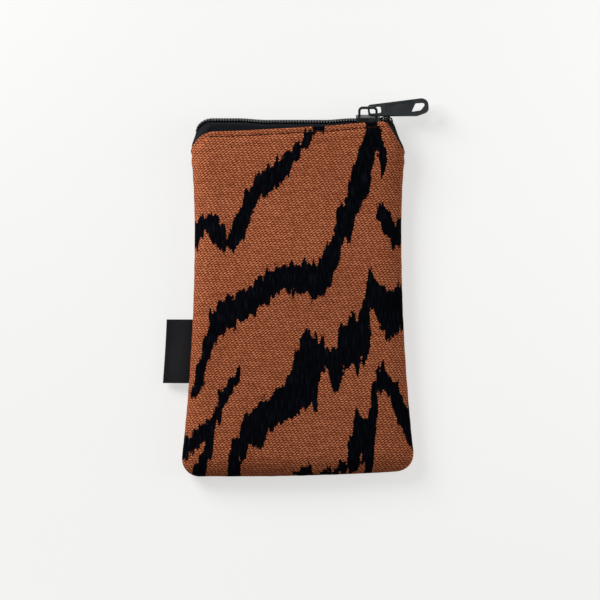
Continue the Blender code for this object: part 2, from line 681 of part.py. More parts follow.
def make_label():
    """A ribbon folded in half, its two ends held in the left seam."""
    section = [(0.0, LABEL_FOLD)]
    reach = LABEL_REACH - LABEL_FOLD
    for k in range(1, 5):
        section.append((reach * k / 4, LABEL_FOLD))
    for k in range(1, 6):
        angle = math.pi / 2 - math.pi * k / 6
        section.append((reach + LABEL_FOLD * math.cos(angle), LABEL_FOLD * math.sin(angle)))
    for k in range(4, -1, -1):
        section.append((reach * k / 4, -LABEL_FOLD))
    ribs = stations(LABEL_LOW_Y, LABEL_HIGH_Y, 16 * MM)

    def place(column, row):
        out, height = section[row]
        y = ribs[column]
        drop = LABEL_DROP * smooth(out / LABEL_REACH)
        return Vector((-half_width(y) - LAYER_GAP - out, y, SEAM_HEIGHT + height - drop))

    mesh = grid_mesh("loop_label", len(ribs) - 1, len(section) - 1, place)
    thicken(add("loop_label", mesh, "satin"), LABEL_PLY, 0)


make_panels()
make_zip()
make_slider()
make_puller()
make_label()
bpy.context.view_layer.update()
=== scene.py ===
# %% [markdown]
# # A soft zipped glasses case
#
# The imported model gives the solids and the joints. This lesson dresses them: it replaces the plain
# soft layers with finer cloth, winds real coils for the zip, and gives every piece its finish.
# The frame comes first, because every piece made later rides on one of its bodies.

# %% The frame
import math

import bmesh
import bpy
import numpy as np
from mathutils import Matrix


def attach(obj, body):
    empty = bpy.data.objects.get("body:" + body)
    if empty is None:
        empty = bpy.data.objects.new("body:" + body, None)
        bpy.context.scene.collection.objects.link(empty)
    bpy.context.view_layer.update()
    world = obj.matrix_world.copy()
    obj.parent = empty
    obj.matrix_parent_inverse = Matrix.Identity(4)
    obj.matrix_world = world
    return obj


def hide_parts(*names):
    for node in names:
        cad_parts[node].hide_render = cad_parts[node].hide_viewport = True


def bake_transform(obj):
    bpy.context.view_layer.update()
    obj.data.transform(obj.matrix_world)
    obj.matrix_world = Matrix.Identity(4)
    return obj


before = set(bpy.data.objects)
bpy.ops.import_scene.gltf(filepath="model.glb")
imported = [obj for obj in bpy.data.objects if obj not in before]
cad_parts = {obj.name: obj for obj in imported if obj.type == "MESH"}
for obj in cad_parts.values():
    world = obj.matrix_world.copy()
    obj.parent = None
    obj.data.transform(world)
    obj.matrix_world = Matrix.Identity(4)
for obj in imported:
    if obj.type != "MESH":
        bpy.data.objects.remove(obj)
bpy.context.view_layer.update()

# %% [markdown]
# ## The measurements
#
# The pouch is described by a few lengths: the outline, the height of the padded belly, the
# thickness of each layer, and where the zip runs. They are the values that the solids were made
# from, in metres, so the cloth made here wraps round them. Only the two upper corners and the
# zip's right end are shaped a little more finely here.

# %% Outline of the pouch
MM = 0.001
BOTTOM_Y = -89.7 * MM
SIDE_TOP_Y = 73.5 * MM
WAIST_Y = 33 * MM
WAIST_HALF_WIDTH = 51.8 * MM
BOTTOM_HALF_WIDTH = 59.3 * MM
SHOULDER_HALF_WIDTH = 53.6 * MM
SHOULDER_STOP = 1.15      # the share of its height up to which the upper curve widens
BOTTOM_CORNER = 10 * MM
BOTTOM_RISE = 2.6 * MM    # the bottom edge curves up by this to the right
RISE_START = -0.5
RISE_END = 0.9
FOLD_LEFT_Y = 83.5 * MM
FOLD_RIGHT_Y = 88.2 * MM
LEFT_CORNER_X = -SHOULDER_HALF_WIDTH + 12.1 * MM
RIGHT_CORNER_X = SHOULDER_HALF_WIDTH - 10.1 * MM
MOUTH_SAG = 1.0 * MM      # the mouth hangs by this below a straight line
LEFT_CORNER_CURVE = (1.75, 0.75)     # two powers: how a corner starts and how it ends
RIGHT_CORNER_CURVE = (1.05, 1.25)
print("pouch is", round(1000 * (FOLD_RIGHT_Y - BOTTOM_Y)), "mm long")

# %% Layers and padding
SEAM_HEIGHT = 5.0 * MM
BELLY_HEIGHT = 13.6 * MM
BELLY_TOP_Y = 45 * MM
MOUTH_FLAT_Y = 74 * MM
ROUNDING = {"front": 12 * MM, "back": 7 * MM}
RIM_LIP = 0.8 * MM        # the height of the rolled seam on each panel
FABRIC = 0.7 * MM
WADDING = 1.8 * MM
LINING = 0.4 * MM
LAYER_GAP = 0.5 * MM
HEM = 2 * FABRIC
HEM_DEPTH = 9 * MM
WADDING_SETBACK = 12 * MM     # how far below the fold a layer ends
LINING_SETBACK = 4 * MM
WADDING_INSET = FABRIC + LAYER_GAP
LINING_INSET = WADDING_INSET + WADDING + LAYER_GAP
print("layers, mm:", [round(1000 * t, 1) for t in (FABRIC, WADDING, LINING)])

# %% Zip
TILT = math.radians(18)   # the zip's face leans back from upright
TAPE = 0.45 * MM
TAPE_GAP = 0.25 * MM
TAPE_EDGE = 1.0 * MM
TAPE_MARGIN = 8.5 * MM
FRONT_BEND = 1.0 * MM
COIL_PITCH = 1.4 * MM
COIL_HEIGHT = 1.2 * MM
COIL_WIDTH = 2.2 * MM
HEAD_LAP = 0.45 * MM      # the turns of each coil reach this far past the middle
EDGE_PLAY = 0.1 * MM
ZIP_Y = FOLD_RIGHT_Y - 0.2 * MM
SLIDER_X = 35 * MM
SLIDER_LENGTH = 12 * MM
SLIDER_TRAVEL = 71 * MM
BLADE = 0.9 * MM
SLIDE_GAP = 0.275 * MM
FLANGE = 0.65 * MM
POST_HALF_WIDTH = 0.8 * MM
CHANNEL_FLARE = 3.6 * MM  # the coils part over this length inside the slider
PARKING_GAP = 1.2 * MM    # between the parked slider and the turning edge
COIL_LOW = TAPE / 2 + TAPE_GAP
COIL_SPREAD = POST_HALF_WIDTH + SLIDE_GAP + HEAD_LAP
SLIDER_LOW = -(TAPE / 2 + SLIDE_GAP) - BLADE
SHOULDER_HALF = COIL_WIDTH + COIL_SPREAD + SLIDE_GAP + FLANGE
FOLD_W = SHOULDER_HALF + SLIDE_GAP
BACK_TAPE_Z = HEM + TAPE_GAP + TAPE / 2
ZIP_Z = (BACK_TAPE_Z + TAPE / 2 + SLIDE_GAP
         + SHOULDER_HALF * math.cos(TILT) - SLIDER_LOW * math.sin(TILT))
FRONT_TAPE_Z = ZIP_Z + FOLD_W * math.cos(TILT) + FRONT_BEND * (1 - math.sin(TILT))
MOUTH_HEIGHT = FRONT_TAPE_Z + TAPE / 2 + TAPE_GAP + HEM
BACK_BEND = (ZIP_Z - FOLD_W * math.cos(TILT) - BACK_TAPE_Z) / (1 + math.sin(TILT))
FLAP_HIGH_X = SLIDER_X - SLIDER_LENGTH / 2 - PARKING_GAP
FLAP_LOW_X = SLIDER_X - SLIDER_TRAVEL + SLIDER_LENGTH / 2 + PARKING_GAP
print("middle of the zip is", round(1000 * ZIP_Z, 2), "mm up")

# %% Corners of the zip
TURN_X = (LEFT_CORNER_X - 1.5 * MM, RIGHT_CORNER_X + 0.3 * MM)     # the left one first
TURN_RADIUS = (8 * MM, 4 * MM)
TURN = (math.radians(70), math.radians(64))
TAIL = (6 * MM, 11.3 * MM)
END_WIDTH_SHARE = 0.22    # what is left of the zip's width at its ends
NARROWING = 1.3           # how much sooner than its end it is that narrow
MARGIN_FADE = 2.2         # and its sewn margin is gone
ZIP_LOW = TURN_X[0] - TURN[0] * TURN_RADIUS[0] - TAIL[0]
ZIP_HIGH = TURN_X[1] + TURN[1] * TURN_RADIUS[1] + TAIL[1]
print("zip is", round(1000 * (ZIP_HIGH - ZIP_LOW)), "mm long round its corners")

# %% [markdown]
# ## Camera, floor and light
#
# The case is seen from straight above, so the camera hangs over it with a long lens, which keeps
# the sides upright. A large soft lamp stands to the upper left and a weak one low on the right.
# The sky fills the shadows. The floor is nearly white: part of what the camera sees of it is a
# plain glow, so it stays even, and the rest is a real surface, so it keeps the shadow of the case.

# %% Camera
VIEW_CENTRE = (1.0 * MM, -1.25 * MM)
VIEW_WIDTH = 300 * MM
VIEW_LEVEL = 10 * MM      # the height at which the view has that width
CAMERA_HEIGHT = 1.5
SENSOR = 36.0


def placed(name, data):
    """A new object of that data, linked to the scene."""
    thing = bpy.data.objects.new(name, data)
    bpy.context.scene.collection.objects.link(thing)
    return thing


lens = bpy.data.cameras.new("camera")
lens.sensor_width = SENSOR
lens.lens = SENSOR * (CAMERA_HEIGHT - VIEW_LEVEL) / VIEW_WIDTH
camera = placed("camera", lens)
camera.location = (*VIEW_CENTRE, CAMERA_HEIGHT)
bpy.context.scene.camera = camera
bpy.context.scene.view_settings.view_transform = "Standard"
print("lens", round(lens.lens), "mm")

# %% Lamps
LAMPS = {                 # place, size and power
    "key": ((-0.41, 0.36, 0.34), 0.35, 4.5),
    "side": ((0.72, 0.02, 0.20), 0.6, 2.2),
}
for name, (place, size, power) in LAMPS.items():
    light = bpy.data.lights.new(name, "AREA")
    light.size = size
    light.energy = power
    lamp = placed(name, light)
    lamp.location = place
    tilt = math.acos(place[2] / math.hypot(*place))      # it faces the middle of the case
    lamp.rotation_euler = (tilt, 0, math.atan2(place[1], place[0]) + math.pi / 2)
print("lamps:", ", ".join(LAMPS))

# %% [markdown]
# ## A small language for materials
#
# A pattern such as a weave is a sum of simple numbers: which row a point is in, how far along its
# thread it is. Drawn as nodes, that sum fills a screen. Here a socket is wrapped so that Python's
# own signs add the nodes, and a pattern reads like its formula.

# %% Shader sums
def math_node(operation):
    """A method that adds the Math node of that operation to the material."""
    def method(self, *others):
        return self.finish.math(operation, self, *others)
    return method


class Value:
    """A shader socket that can stand in a sum. Each sign adds the Math node that it stands for."""

    __add__ = __radd__ = math_node("ADD")
    __sub__ = math_node("SUBTRACT")
    __mul__ = __rmul__ = math_node("MULTIPLY")
    __truediv__ = math_node("DIVIDE")
    floor = math_node("FLOOR")
    fraction = math_node("FRACT")
    absolute = math_node("ABSOLUTE")
    sine = math_node("SINE")
    power = math_node("POWER")

    def __init__(self, finish, socket):
        self.finish, self.socket = finish, socket

    def __rsub__(self, other):
        """A number less this value."""
        return self.finish.math("SUBTRACT", other, self)

    def wave(self, pitch=1.0):
        """A sine that comes round once in every pitch."""
        return (self * (2 * math.pi / pitch)).sine()

    def ribs(self, pitch=1.0):
        """The same wave, from 0 in its troughs to 1 on its crests."""
        return self.wave(pitch) * 0.5 + 0.5

    def clamped(self):
        """The value, held from 0 to 1."""
        return self.finish.node("ShaderNodeClamp", {}, {"Value": self})

    def below(self, edge, width):
        """1 where the value is under the edge and 0 above it, with a soft step of that width."""
        return ((edge - self) / width + 0.5).clamped()


print("signs in use: + - * /")


# %% A material and its nodes
class Finish:
    """One material: its node tree, and the methods that add nodes to it."""

    def __init__(self, name, roughness=0.8, metallic=0.0, specular=0.3):
        self.material = bpy.data.materials.new(name)
        self.material.use_nodes = True
        self.tree = self.material.node_tree
        self.shader = self.tree.nodes["Principled BSDF"]
        self.finished(Roughness=roughness, Metallic=metallic, Specular_IOR_Level=specular)

    def feed(self, socket, value):
        """Links a value to the socket, or sets the socket to a number or a colour."""
        if isinstance(value, Value):
            self.tree.links.new(value.socket, socket)
        else:
            socket.default_value = (*value, 1) if socket.type == "RGBA" else value

    def node(self, kind, settings, sockets, output=0):
        """Adds a node of that kind: its settings first, then the values or links of its sockets."""
        made = self.tree.nodes.new(kind)
        for name, value in settings.items():
            setattr(made, name, value)
        for name, value in sockets.items():
            self.feed(made.inputs[name], value)
        return Value(self, made.outputs[output])

    def math(self, operation, *terms):
        """The operation on up to three terms."""
        return self.node("ShaderNodeMath", {"operation": operation}, dict(enumerate(terms)))

    def mix(self, share, first, second):
        """Colour: the first where share is 0, the second where it is 1."""
        return self.node("ShaderNodeMix", {"data_type": "RGBA"}, {0: share, 6: first, 7: second}, 2)

    def axes(self, vector):
        """The three numbers of a vector."""
        made = self.node("ShaderNodeSeparateXYZ", {}, {0: vector})
        outputs = made.socket.node.outputs
        return [Value(self, outputs[k]) for k in range(3)]

    def vector(self, x, y, z=0.0):
        """Three numbers as one vector."""
        return self.node("ShaderNodeCombineXYZ", {}, {"X": x, "Y": y, "Z": z})

    def cloth_place(self):
        """Across and up the cloth, in metres, from the piece's own UV map."""
        return self.axes(self.node("ShaderNodeUVMap", {"uv_map": "cloth"}, {}))[:2]

    def object_place(self):
        """The point's own x, y and z in the object, in metres."""
        return self.node("ShaderNodeTexCoord", {}, {}, 3)

    def measure(self, name):
        """A number kept with the points of the mesh."""
        return self.node("ShaderNodeAttribute", {"attribute_name": name}, {}, 2)

    def noise(self, vector, scale=1.0, detail=2.0):
        """Soft noise, mostly near a half, with so many patches in a unit of the vector."""
        return self.node("ShaderNodeTexNoise", {},
                         {"Vector": vector, "Scale": scale, "Detail": detail})

    def cloth_noise(self, place, across_scale, up_scale, detail=2.0):
        """Noise over the cloth, with so many patches a metre each way."""
        across, up = place
        return self.noise(self.vector(across * across_scale, up * up_scale), detail=detail)

    def chance(self, x, y):
        """A number from 0 to 1 that is the same within one whole-numbered cell."""
        return self.node("ShaderNodeTexWhiteNoise", {"noise_dimensions": "2D"},
                         {"Vector": self.vector(x, y)})

    def bump(self, height, distance):
        """The normal of a surface that stands up by the height times the distance."""
        return self.node("ShaderNodeBump", {}, {"Height": height, "Distance": distance})

    def finished(self, **sockets):
        """Links the shader's sockets, named with _ for a space, and gives the material."""
        for name, value in sockets.items():
            self.feed(self.shader.inputs[name.replace("_", " ")], value)
        return self.material


print("noise, chance, mix and bump are ready")

# %% Floor and sky
FLOOR_COLOUR = (0.93, 0.93, 0.92)
FLOOR_SIZE = 2.4
FLOOR_LEVEL = -0.2 * MM
GLOW_COLOUR = (0.975, 0.972, 0.955)
GLOW_SHARE = 0.56
GLOW_MIDDLE = 1.06
GLOW_RIGHT = 0.85         # per metre, which evens out what the lamp's side gets more of
GLOW_UP = -0.61
GLOW_ACROSS = 4.2         # per square metre, for the two other corners
SKY_COLOUR = (0.97, 0.98, 1.0)
FILL_LIGHT = 0.18


def seen_directly(finish):
    """1 for rays from the camera and for mirror or glass rays, so metal shows the same floor."""
    outputs = finish.node("ShaderNodeLightPath", {}, {}).socket.node.outputs
    camera_ray, mirror_ray, glass_ray = (Value(finish, outputs[name]) for name in (
        "Is Camera Ray", "Is Glossy Ray", "Is Transmission Ray"))
    return (camera_ray + mirror_ray + glass_ray).clamped()


floor_finish = Finish("floor_paper", roughness=0.95, specular=0.1)
floor_finish.finished(Base_Color=FLOOR_COLOUR)
floor_x, floor_y, _ = floor_finish.axes(floor_finish.object_place())
evenness = GLOW_MIDDLE + floor_x * GLOW_RIGHT + floor_y * GLOW_UP + floor_x * floor_y * GLOW_ACROSS
# The colour mix runs from half the glow to one and a half times it.
dim, bright = ([times * part for part in GLOW_COLOUR] for times in (0.5, 1.5))
glow = floor_finish.node("ShaderNodeEmission", {}, {
    "Color": floor_finish.mix(evenness - 0.5, dim, bright)})
shared = floor_finish.node("ShaderNodeMixShader", {}, {
    0: seen_directly(floor_finish) * GLOW_SHARE,
    1: Value(floor_finish, floor_finish.shader.outputs[0]), 2: glow})
floor_finish.feed(floor_finish.tree.nodes["Material Output"].inputs["Surface"], shared)

floor_mesh = bpy.data.meshes.new("floor")
floor_mesh.from_pydata([(x * FLOOR_SIZE / 2, y * FLOOR_SIZE / 2, FLOOR_LEVEL) for x, y in
                        ((-1, -1), (1, -1), (1, 1), (-1, 1))], [], [(0, 1, 2, 3)])
floor_mesh.materials.append(floor_finish.material)
placed("floor", floor_mesh)

world = bpy.data.worlds.new("studio")
bpy.context.scene.world = world
world.use_nodes = True
background = world.node_tree.nodes["Background"]
background.inputs["Color"].default_value = (*SKY_COLOUR, 1)
background.inputs["Strength"].default_value = FILL_LIGHT
print("floor glows by", GLOW_SHARE)

# %% [markdown]
# ## Surfaces from grids
#
# Every new piece is a grid of points worked out at once as numpy arrays. A thin piece has two
# faces, so its mesh is two grids, joined round their border. The helpers below number the faces
# of a grid, join two borders, and put arrays into a mesh with its cloth map.

# %% Grids and meshes
SHARP_EDGE = math.radians(50)
TINY = 1e-12              # metres: no length is taken as less when it divides


def cells(numbers, flip=False):
    """The four corners of every cell of a grid of vertex numbers."""
    corners = np.stack([numbers[:-1, :-1], numbers[1:, :-1], numbers[1:, 1:], numbers[:-1, 1:]],
                       axis=-1).reshape(-1, 4)
    return corners[:, ::-1] if flip else corners


def numbered(*grids):
    """The points of several grids in one list, and the vertex numbers of each grid."""
    numbers, total = [], 0
    for grid in grids:
        numbers.append(total + np.arange(grid[..., 0].size).reshape(grid.shape[:2]))
        total += numbers[-1].size
    return np.concatenate([grid.reshape(-1, 3) for grid in grids]), numbers


def add_piece(name, points, faces, finish, body, cloth=None, measures=None):
    """Makes a mesh object of the points and faces with its finish, and puts it under its body if one
    is named.
    """
    mesh = bpy.data.meshes.new(name)
    faces = [list(map(int, corners)) for corners in faces]
    mesh.from_pydata(np.asarray(points).reshape(-1, 3).tolist(), [], faces)
    work = bmesh.new()
    work.from_mesh(mesh)
    bmesh.ops.recalc_face_normals(work, faces=work.faces)
    work.to_mesh(mesh)
    work.free()
    mesh.shade_smooth()
    mesh.set_sharp_from_angle(angle=SHARP_EDGE)
    if cloth is not None:
        layer = mesh.uv_layers.new(name="cloth")
        corner_points = np.empty(len(mesh.loops), dtype=np.int32)
        mesh.loops.foreach_get("vertex_index", corner_points)
        layer.data.foreach_set("uv", np.asarray(cloth).reshape(-1, 2)[corner_points].ravel())
    for key, values in (measures or {}).items():
        measure = mesh.attributes.new(key, "FLOAT", "POINT")
        measure.data.foreach_set("value", values.ravel())
    mesh.materials.append(finish)
    piece = placed(name, mesh)
    if body:
        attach(piece, body)
    return piece


def lengths(points, axis, skip=None):
    """Distance travelled along one axis of a grid, leaving out one direction if asked."""
    steps = np.diff(points, axis=axis)
    if skip is not None:
        steps = np.delete(steps, skip, axis=2)
    steps = np.linalg.norm(steps, axis=2)
    start = np.zeros_like(np.take(steps, [0], axis=axis))
    return np.concatenate([start, np.cumsum(steps, axis=axis)], axis=axis)


def unit(vectors):
    """Each vector divided by its own length."""
    return vectors / np.maximum(np.linalg.norm(vectors, axis=-1, keepdims=True), TINY)


def grid_normals(points):
    """Unit normals: the cross product of the grid's two directions."""
    return unit(np.cross(np.gradient(points, axis=0), np.gradient(points, axis=1)))


print("grid helpers ready")

# %% A thin slab
def slab(name, middle, thickness, finish, body, cloth=None):
    """A sheet of even thickness: the middle grid pushed half of it each way along its normals."""
    push = grid_normals(middle) * thickness / 2
    points, (top, low) = numbered(middle + push, middle - push)
    borders = [(grid[0], grid[-1], grid[:, 0], grid[:, -1]) for grid in (top, low)]
    faces = [cells(top), cells(low, flip=True)] + [cells(np.stack(pair)) for pair in zip(*borders)]
    if cloth is None:
        cloth = np.stack([lengths(middle, 0), lengths(middle, 1)], axis=-1)
    cloth = np.concatenate([cloth.reshape(-1, 2)] * 2)
    return add_piece(name, points, np.concatenate(faces), finish, body, cloth)


print("slab ready")

# %% Round threads
UPRIGHT = np.array([0.0, 0.0, 1.0])


def threads(name, centres, guide, radius, sides, finish, body):
    """Tubes along rows of centres. A ring is radius times cosine and sine of two normals.

    centres is (threads, points, 3). The first normal is square to the path and to the guide.
    """
    ahead = unit(np.gradient(centres, axis=1))
    first = unit(np.cross(ahead, guide))
    second = np.cross(ahead, first)
    angles = np.linspace(0, 2 * math.pi, sides, endpoint=False)
    rings = (centres[:, :, None] + radius[..., None, None] * (
        np.cos(angles)[:, None] * first[:, :, None] + np.sin(angles)[:, None] * second[:, :, None]))
    count, length = centres.shape[:2]
    numbers = np.arange(count * length * sides).reshape(count, length, sides)
    faces = []
    for thread in numbers:
        closed = np.concatenate([thread, thread[:, :1]], axis=1)
        faces += cells(closed).tolist() + [thread[0].tolist(), thread[-1][::-1].tolist()]
    along = lengths(centres, 1)[:, :, None] * np.ones(sides)
    round_it = np.ones((count, length, 1)) * angles * np.max(radius)
    return add_piece(name, rings, faces, finish, body, np.stack([along, round_it], axis=-1))


print("threads ready")

# %% [markdown]
# ## The shape of the padded panels
#
# A padded pouch is two pillows back to back: each panel stands up from the side seam in a quarter
# ellipse and runs level over the belly. The mouth slopes up to the right and rounds down at both
# ends. One formula with two numbers, across and up, gives any point of it, and an inset gives the
# layers that lie inside.

# %% Outline curves
SAG_STEP = (-62 * MM, 35 * MM)       # where it starts, and over what length
SAG_TAKEN_UP = 0.7
TAKING_UP_STEP = (15 * MM, 22 * MM)


def clamp(value, low=0.0, high=1.0):
    """The value, held between the two limits."""
    return np.clip(value, low, high)


def smooth(value):
    """Eases from 0 to 1: three squares less two cubes."""
    value = clamp(value)
    return value * value * (3 - 2 * value)


def eased(value, start, length):
    """0 up to the start, 1 from a length further on, and smooth between."""
    return smooth((value - start) / length)


def half_width(y):
    """Half the pouch's width at y: two parabolas that meet at the waist."""
    below = (WAIST_Y - y) / (WAIST_Y - BOTTOM_Y)
    above = np.minimum((y - WAIST_Y) / (SIDE_TOP_Y - WAIST_Y), SHOULDER_STOP)
    return WAIST_HALF_WIDTH + np.where(y < WAIST_Y,
                                       (BOTTOM_HALF_WIDTH - WAIST_HALF_WIDTH) * below ** 2,
                                       (SHOULDER_HALF_WIDTH - WAIST_HALF_WIDTH) * above ** 2)


def corner_drop(share, curve):
    """1 before the corner, falling to 0 at its end: one less a power, to a power."""
    foot, top = curve
    return (1 - clamp(share) ** foot) ** top


def mouth_sag(x):
    """How far the mouth hangs below its straight line: most between the corner and the slider."""
    return MOUTH_SAG * eased(x, *SAG_STEP) * (1 - SAG_TAKEN_UP * eased(x, *TAKING_UP_STEP))


def fold_y(u):
    """The folded edge of the mouth: a sloping line that hangs a little, rounded at both ends."""
    x = u * SHOULDER_HALF_WIDTH
    line = FOLD_LEFT_Y + (FOLD_RIGHT_Y - FOLD_LEFT_Y) * clamp(
        (x - LEFT_CORNER_X) / (RIGHT_CORNER_X - LEFT_CORNER_X)) - mouth_sag(x)
    left = corner_drop((LEFT_CORNER_X - x) / (SHOULDER_HALF_WIDTH + LEFT_CORNER_X),
                       LEFT_CORNER_CURVE)
    right = corner_drop((x - RIGHT_CORNER_X) / (SHOULDER_HALF_WIDTH - RIGHT_CORNER_X),
                        RIGHT_CORNER_CURVE)
    return SIDE_TOP_Y + (line - SIDE_TOP_Y) * left * right


def base_y(u):
    """The line of the bottom edge: level, then a parabola up towards the right."""
    return BOTTOM_Y + BOTTOM_RISE * clamp((u - RISE_START) / (RISE_END - RISE_START)) ** 2


def bottom_y(u, inset):
    """The bottom edge, with its two rounded corners."""
    corner = BOTTOM_CORNER - inset
    start = 1 - corner / (BOTTOM_HALF_WIDTH - inset)
    share = clamp((np.abs(u) - start) / (1 - start))
    return base_y(u) + inset + corner * (1 - np.sqrt(1 - share ** 2))


print("mouth from, to, mm:", [round(1000 * float(fold_y(u)), 1) for u in (-0.7, 0.7)])

# %% Panel surface
DOME = 2.4 * MM           # the belly falls this much from its middle to its sides
DOME_FADE = 30 * MM       # and is level again at the mouth


def seam_distance(u, y, inset):
    """How far a point is from the seam: from the nearer edge, or from the arc of a bottom corner.

    In the square round a corner it is the corner's radius less the distance to the arc's middle.
    """
    corner = BOTTOM_CORNER - inset
    past_side = corner - (1 - np.abs(u)) * (BOTTOM_HALF_WIDTH - inset)
    past_low = corner - (y - base_y(u) - inset)
    outside = np.hypot(np.maximum(past_side, 0), np.maximum(past_low, 0))
    return corner - outside - np.minimum(np.maximum(past_side, past_low), 0)


def panel_surface(u, v, inset, setback, side, foot):
    """A panel's face, u from -1 to 1 across and v from 0 at the bottom to 1 at the mouth.

    Height is the seam's plus a quarter ellipse of the nearness to the seam.
    """
    low = bottom_y(u, inset)
    y = low + (fold_y(u) - setback - low) * v
    half = half_width(y) - inset
    rounded = ROUNDING[side] - inset
    nearness = clamp(1 - seam_distance(u, y, inset) / rounded)
    lift = np.sqrt(1 - nearness ** 2)
    if side == "front":
        top = BELLY_HEIGHT + (MOUTH_HEIGHT - BELLY_HEIGHT) * eased(
            y, BELLY_TOP_Y, MOUTH_FLAT_Y - BELLY_TOP_Y) - inset
        top = top - DOME * u ** 2 * smooth((MOUTH_FLAT_Y - y) / DOME_FADE)
        z = foot + RIM_LIP + (top - foot - RIM_LIP) * lift
    else:
        z = foot - RIM_LIP + (inset - foot + RIM_LIP) * lift
    return np.stack([u * half, y, z], axis=-1)


def spaced(rounded, length, edge_steps, middle_steps, both):
    """Shares from 0 to 1 along a length, closer together where the panel's edge is rounded."""
    edge = rounded / length * (1 - np.cos(np.linspace(0, math.pi / 2, edge_steps + 1)))[:-1]
    first = rounded / length
    middle = np.linspace(first, 1 - first if both else 1, middle_steps + 1)
    return np.concatenate([edge, middle, 1 - edge[::-1]] if both else [edge, middle])


def panel_grid(rounded, edge_steps, across_steps, up_steps):
    """The values of u and of v for a panel that is rounded by so much."""
    across = spaced(rounded, 2 * WAIST_HALF_WIDTH, edge_steps, across_steps, True)
    return 2 * across - 1, spaced(rounded, FOLD_RIGHT_Y - BOTTOM_Y, edge_steps, up_steps, False)


belly_point = panel_surface(0.0, 0.5, 0.0, 0.0, "front", SEAM_HEIGHT)
print("belly", round(1000 * float(belly_point[2]), 1), "mm high")

# %% Closed panel
ROLL_STEPS = 5
FOLD_STEPS = 6
OUTWARD = {"front": 1, "back": -1}


def half_round(first, second, bulge, steps):
    """Rows of points from one line to another, pushed out by a sine on the way."""
    turn = np.linspace(0, math.pi, steps + 1)[1:-1, None]
    share = (1 - np.cos(turn)) / 2
    return first[:, None] * (1 - share) + second[:, None] * share + bulge[:, None] * np.sin(turn)


def panel_shell(name, side, face, inner, fold, finish, cloth, measures):
    """One layer with both faces: two grids, a rolled seam round three sides, a fold at the mouth.

    The seam's roll and the fold are half rounds from the outer face to the inner one.
    """
    columns, rows = face.shape[:2]
    last = columns - 1
    border = ([(0, k) for k in range(rows - 1, 0, -1)] + [(k, 0) for k in range(columns)]
              + [(last, k) for k in range(1, rows)])
    seam = tuple(np.array(border).T)
    down = np.tile([0, 0, -OUTWARD[side] * RIM_LIP], (len(border), 1))
    roll = half_round(face[seam], inner[seam], down, ROLL_STEPS)
    edge = np.gradient(face[:, -1], axis=0)
    out = unit(np.stack([-edge[:, 1], edge[:, 0], 0 * edge[:, 0]], axis=-1))
    mouth = half_round(face[:, -1], inner[:, -1], out * fold / 2, FOLD_STEPS)
    points, (outer, inside, rolled, folded) = numbered(face, inner, roll, mouth)
    roll_strip = np.concatenate([outer[seam][:, None], rolled, inside[seam][:, None]], axis=1)
    mouth_strip = np.concatenate([outer[:, -1:], folded, inside[:, -1:]], axis=1)
    faces = []
    for strip in (outer, inside, roll_strip, mouth_strip):
        faces += cells(strip).tolist()
    for end in (0, -1):
        faces.append(roll_strip[end].tolist() + mouth_strip[end][1:-1][::-1].tolist())

    def everywhere(values, roll_by=0.0, fold_by=0.0):
        """Values of the outer grid, kept on the inner one, and carried on over roll and fold."""
        values = values.reshape(columns, rows, -1)
        kinds = values.shape[2]
        ahead = unit(values[seam] - values[clamp(seam[0], 1, last - 1), np.maximum(seam[1], 1)])
        steps = np.arange(1, ROLL_STEPS)[:, None] * roll_by
        on_roll = values[seam][:, None] + ahead[:, None] * steps
        steps = np.arange(1, FOLD_STEPS)[:, None] * fold_by
        on_fold = values[:, -1][:, None] + np.eye(kinds)[-1] * steps
        everything = (values, values, on_roll, on_fold)
        return np.concatenate([part.reshape(-1, kinds) for part in everything])

    measures = {key: everywhere(values) for key, values in measures.items()}
    cloth = everywhere(cloth, RIM_LIP * math.pi / 2 / ROLL_STEPS, fold * math.pi / 2 / FOLD_STEPS)
    return add_piece(name, points, faces, finish, "case", cloth, measures)


def cloth_map(face):
    """Across and up the cloth in metres: what a thread travels, leaving out its sideways drift."""
    middle_column, middle_row = face.shape[0] // 2, face.shape[1] // 2
    across = lengths(face, 0, skip=1)
    across = across - across[middle_column:middle_column + 1]
    up = lengths(face, 1, skip=0)
    up = up - up[:, middle_row:middle_row + 1] + face[:, middle_row:middle_row + 1, 1]
    return np.stack([across, up], axis=-1)


print("panel helpers ready")

# %% [markdown]
# ## The tiger stripes
#
# The cloth is woven with dark stripes on a rust ground, like a tiger's coat. A stripe swells and
# narrows as it goes, so each is a chain of round-ended strokes: a list of points with a half width
# at each. The distance from a point of the cloth to the nearest stroke, less the half width there,
# is kept with the mesh. It is below zero inside a stripe. The weave's ragged edge is added later,
# in the material, where it can be finer than the mesh. A picture wrapped round the cloth would be
# quicker, but strokes stay sharp from near by, and can be moved one at a time.

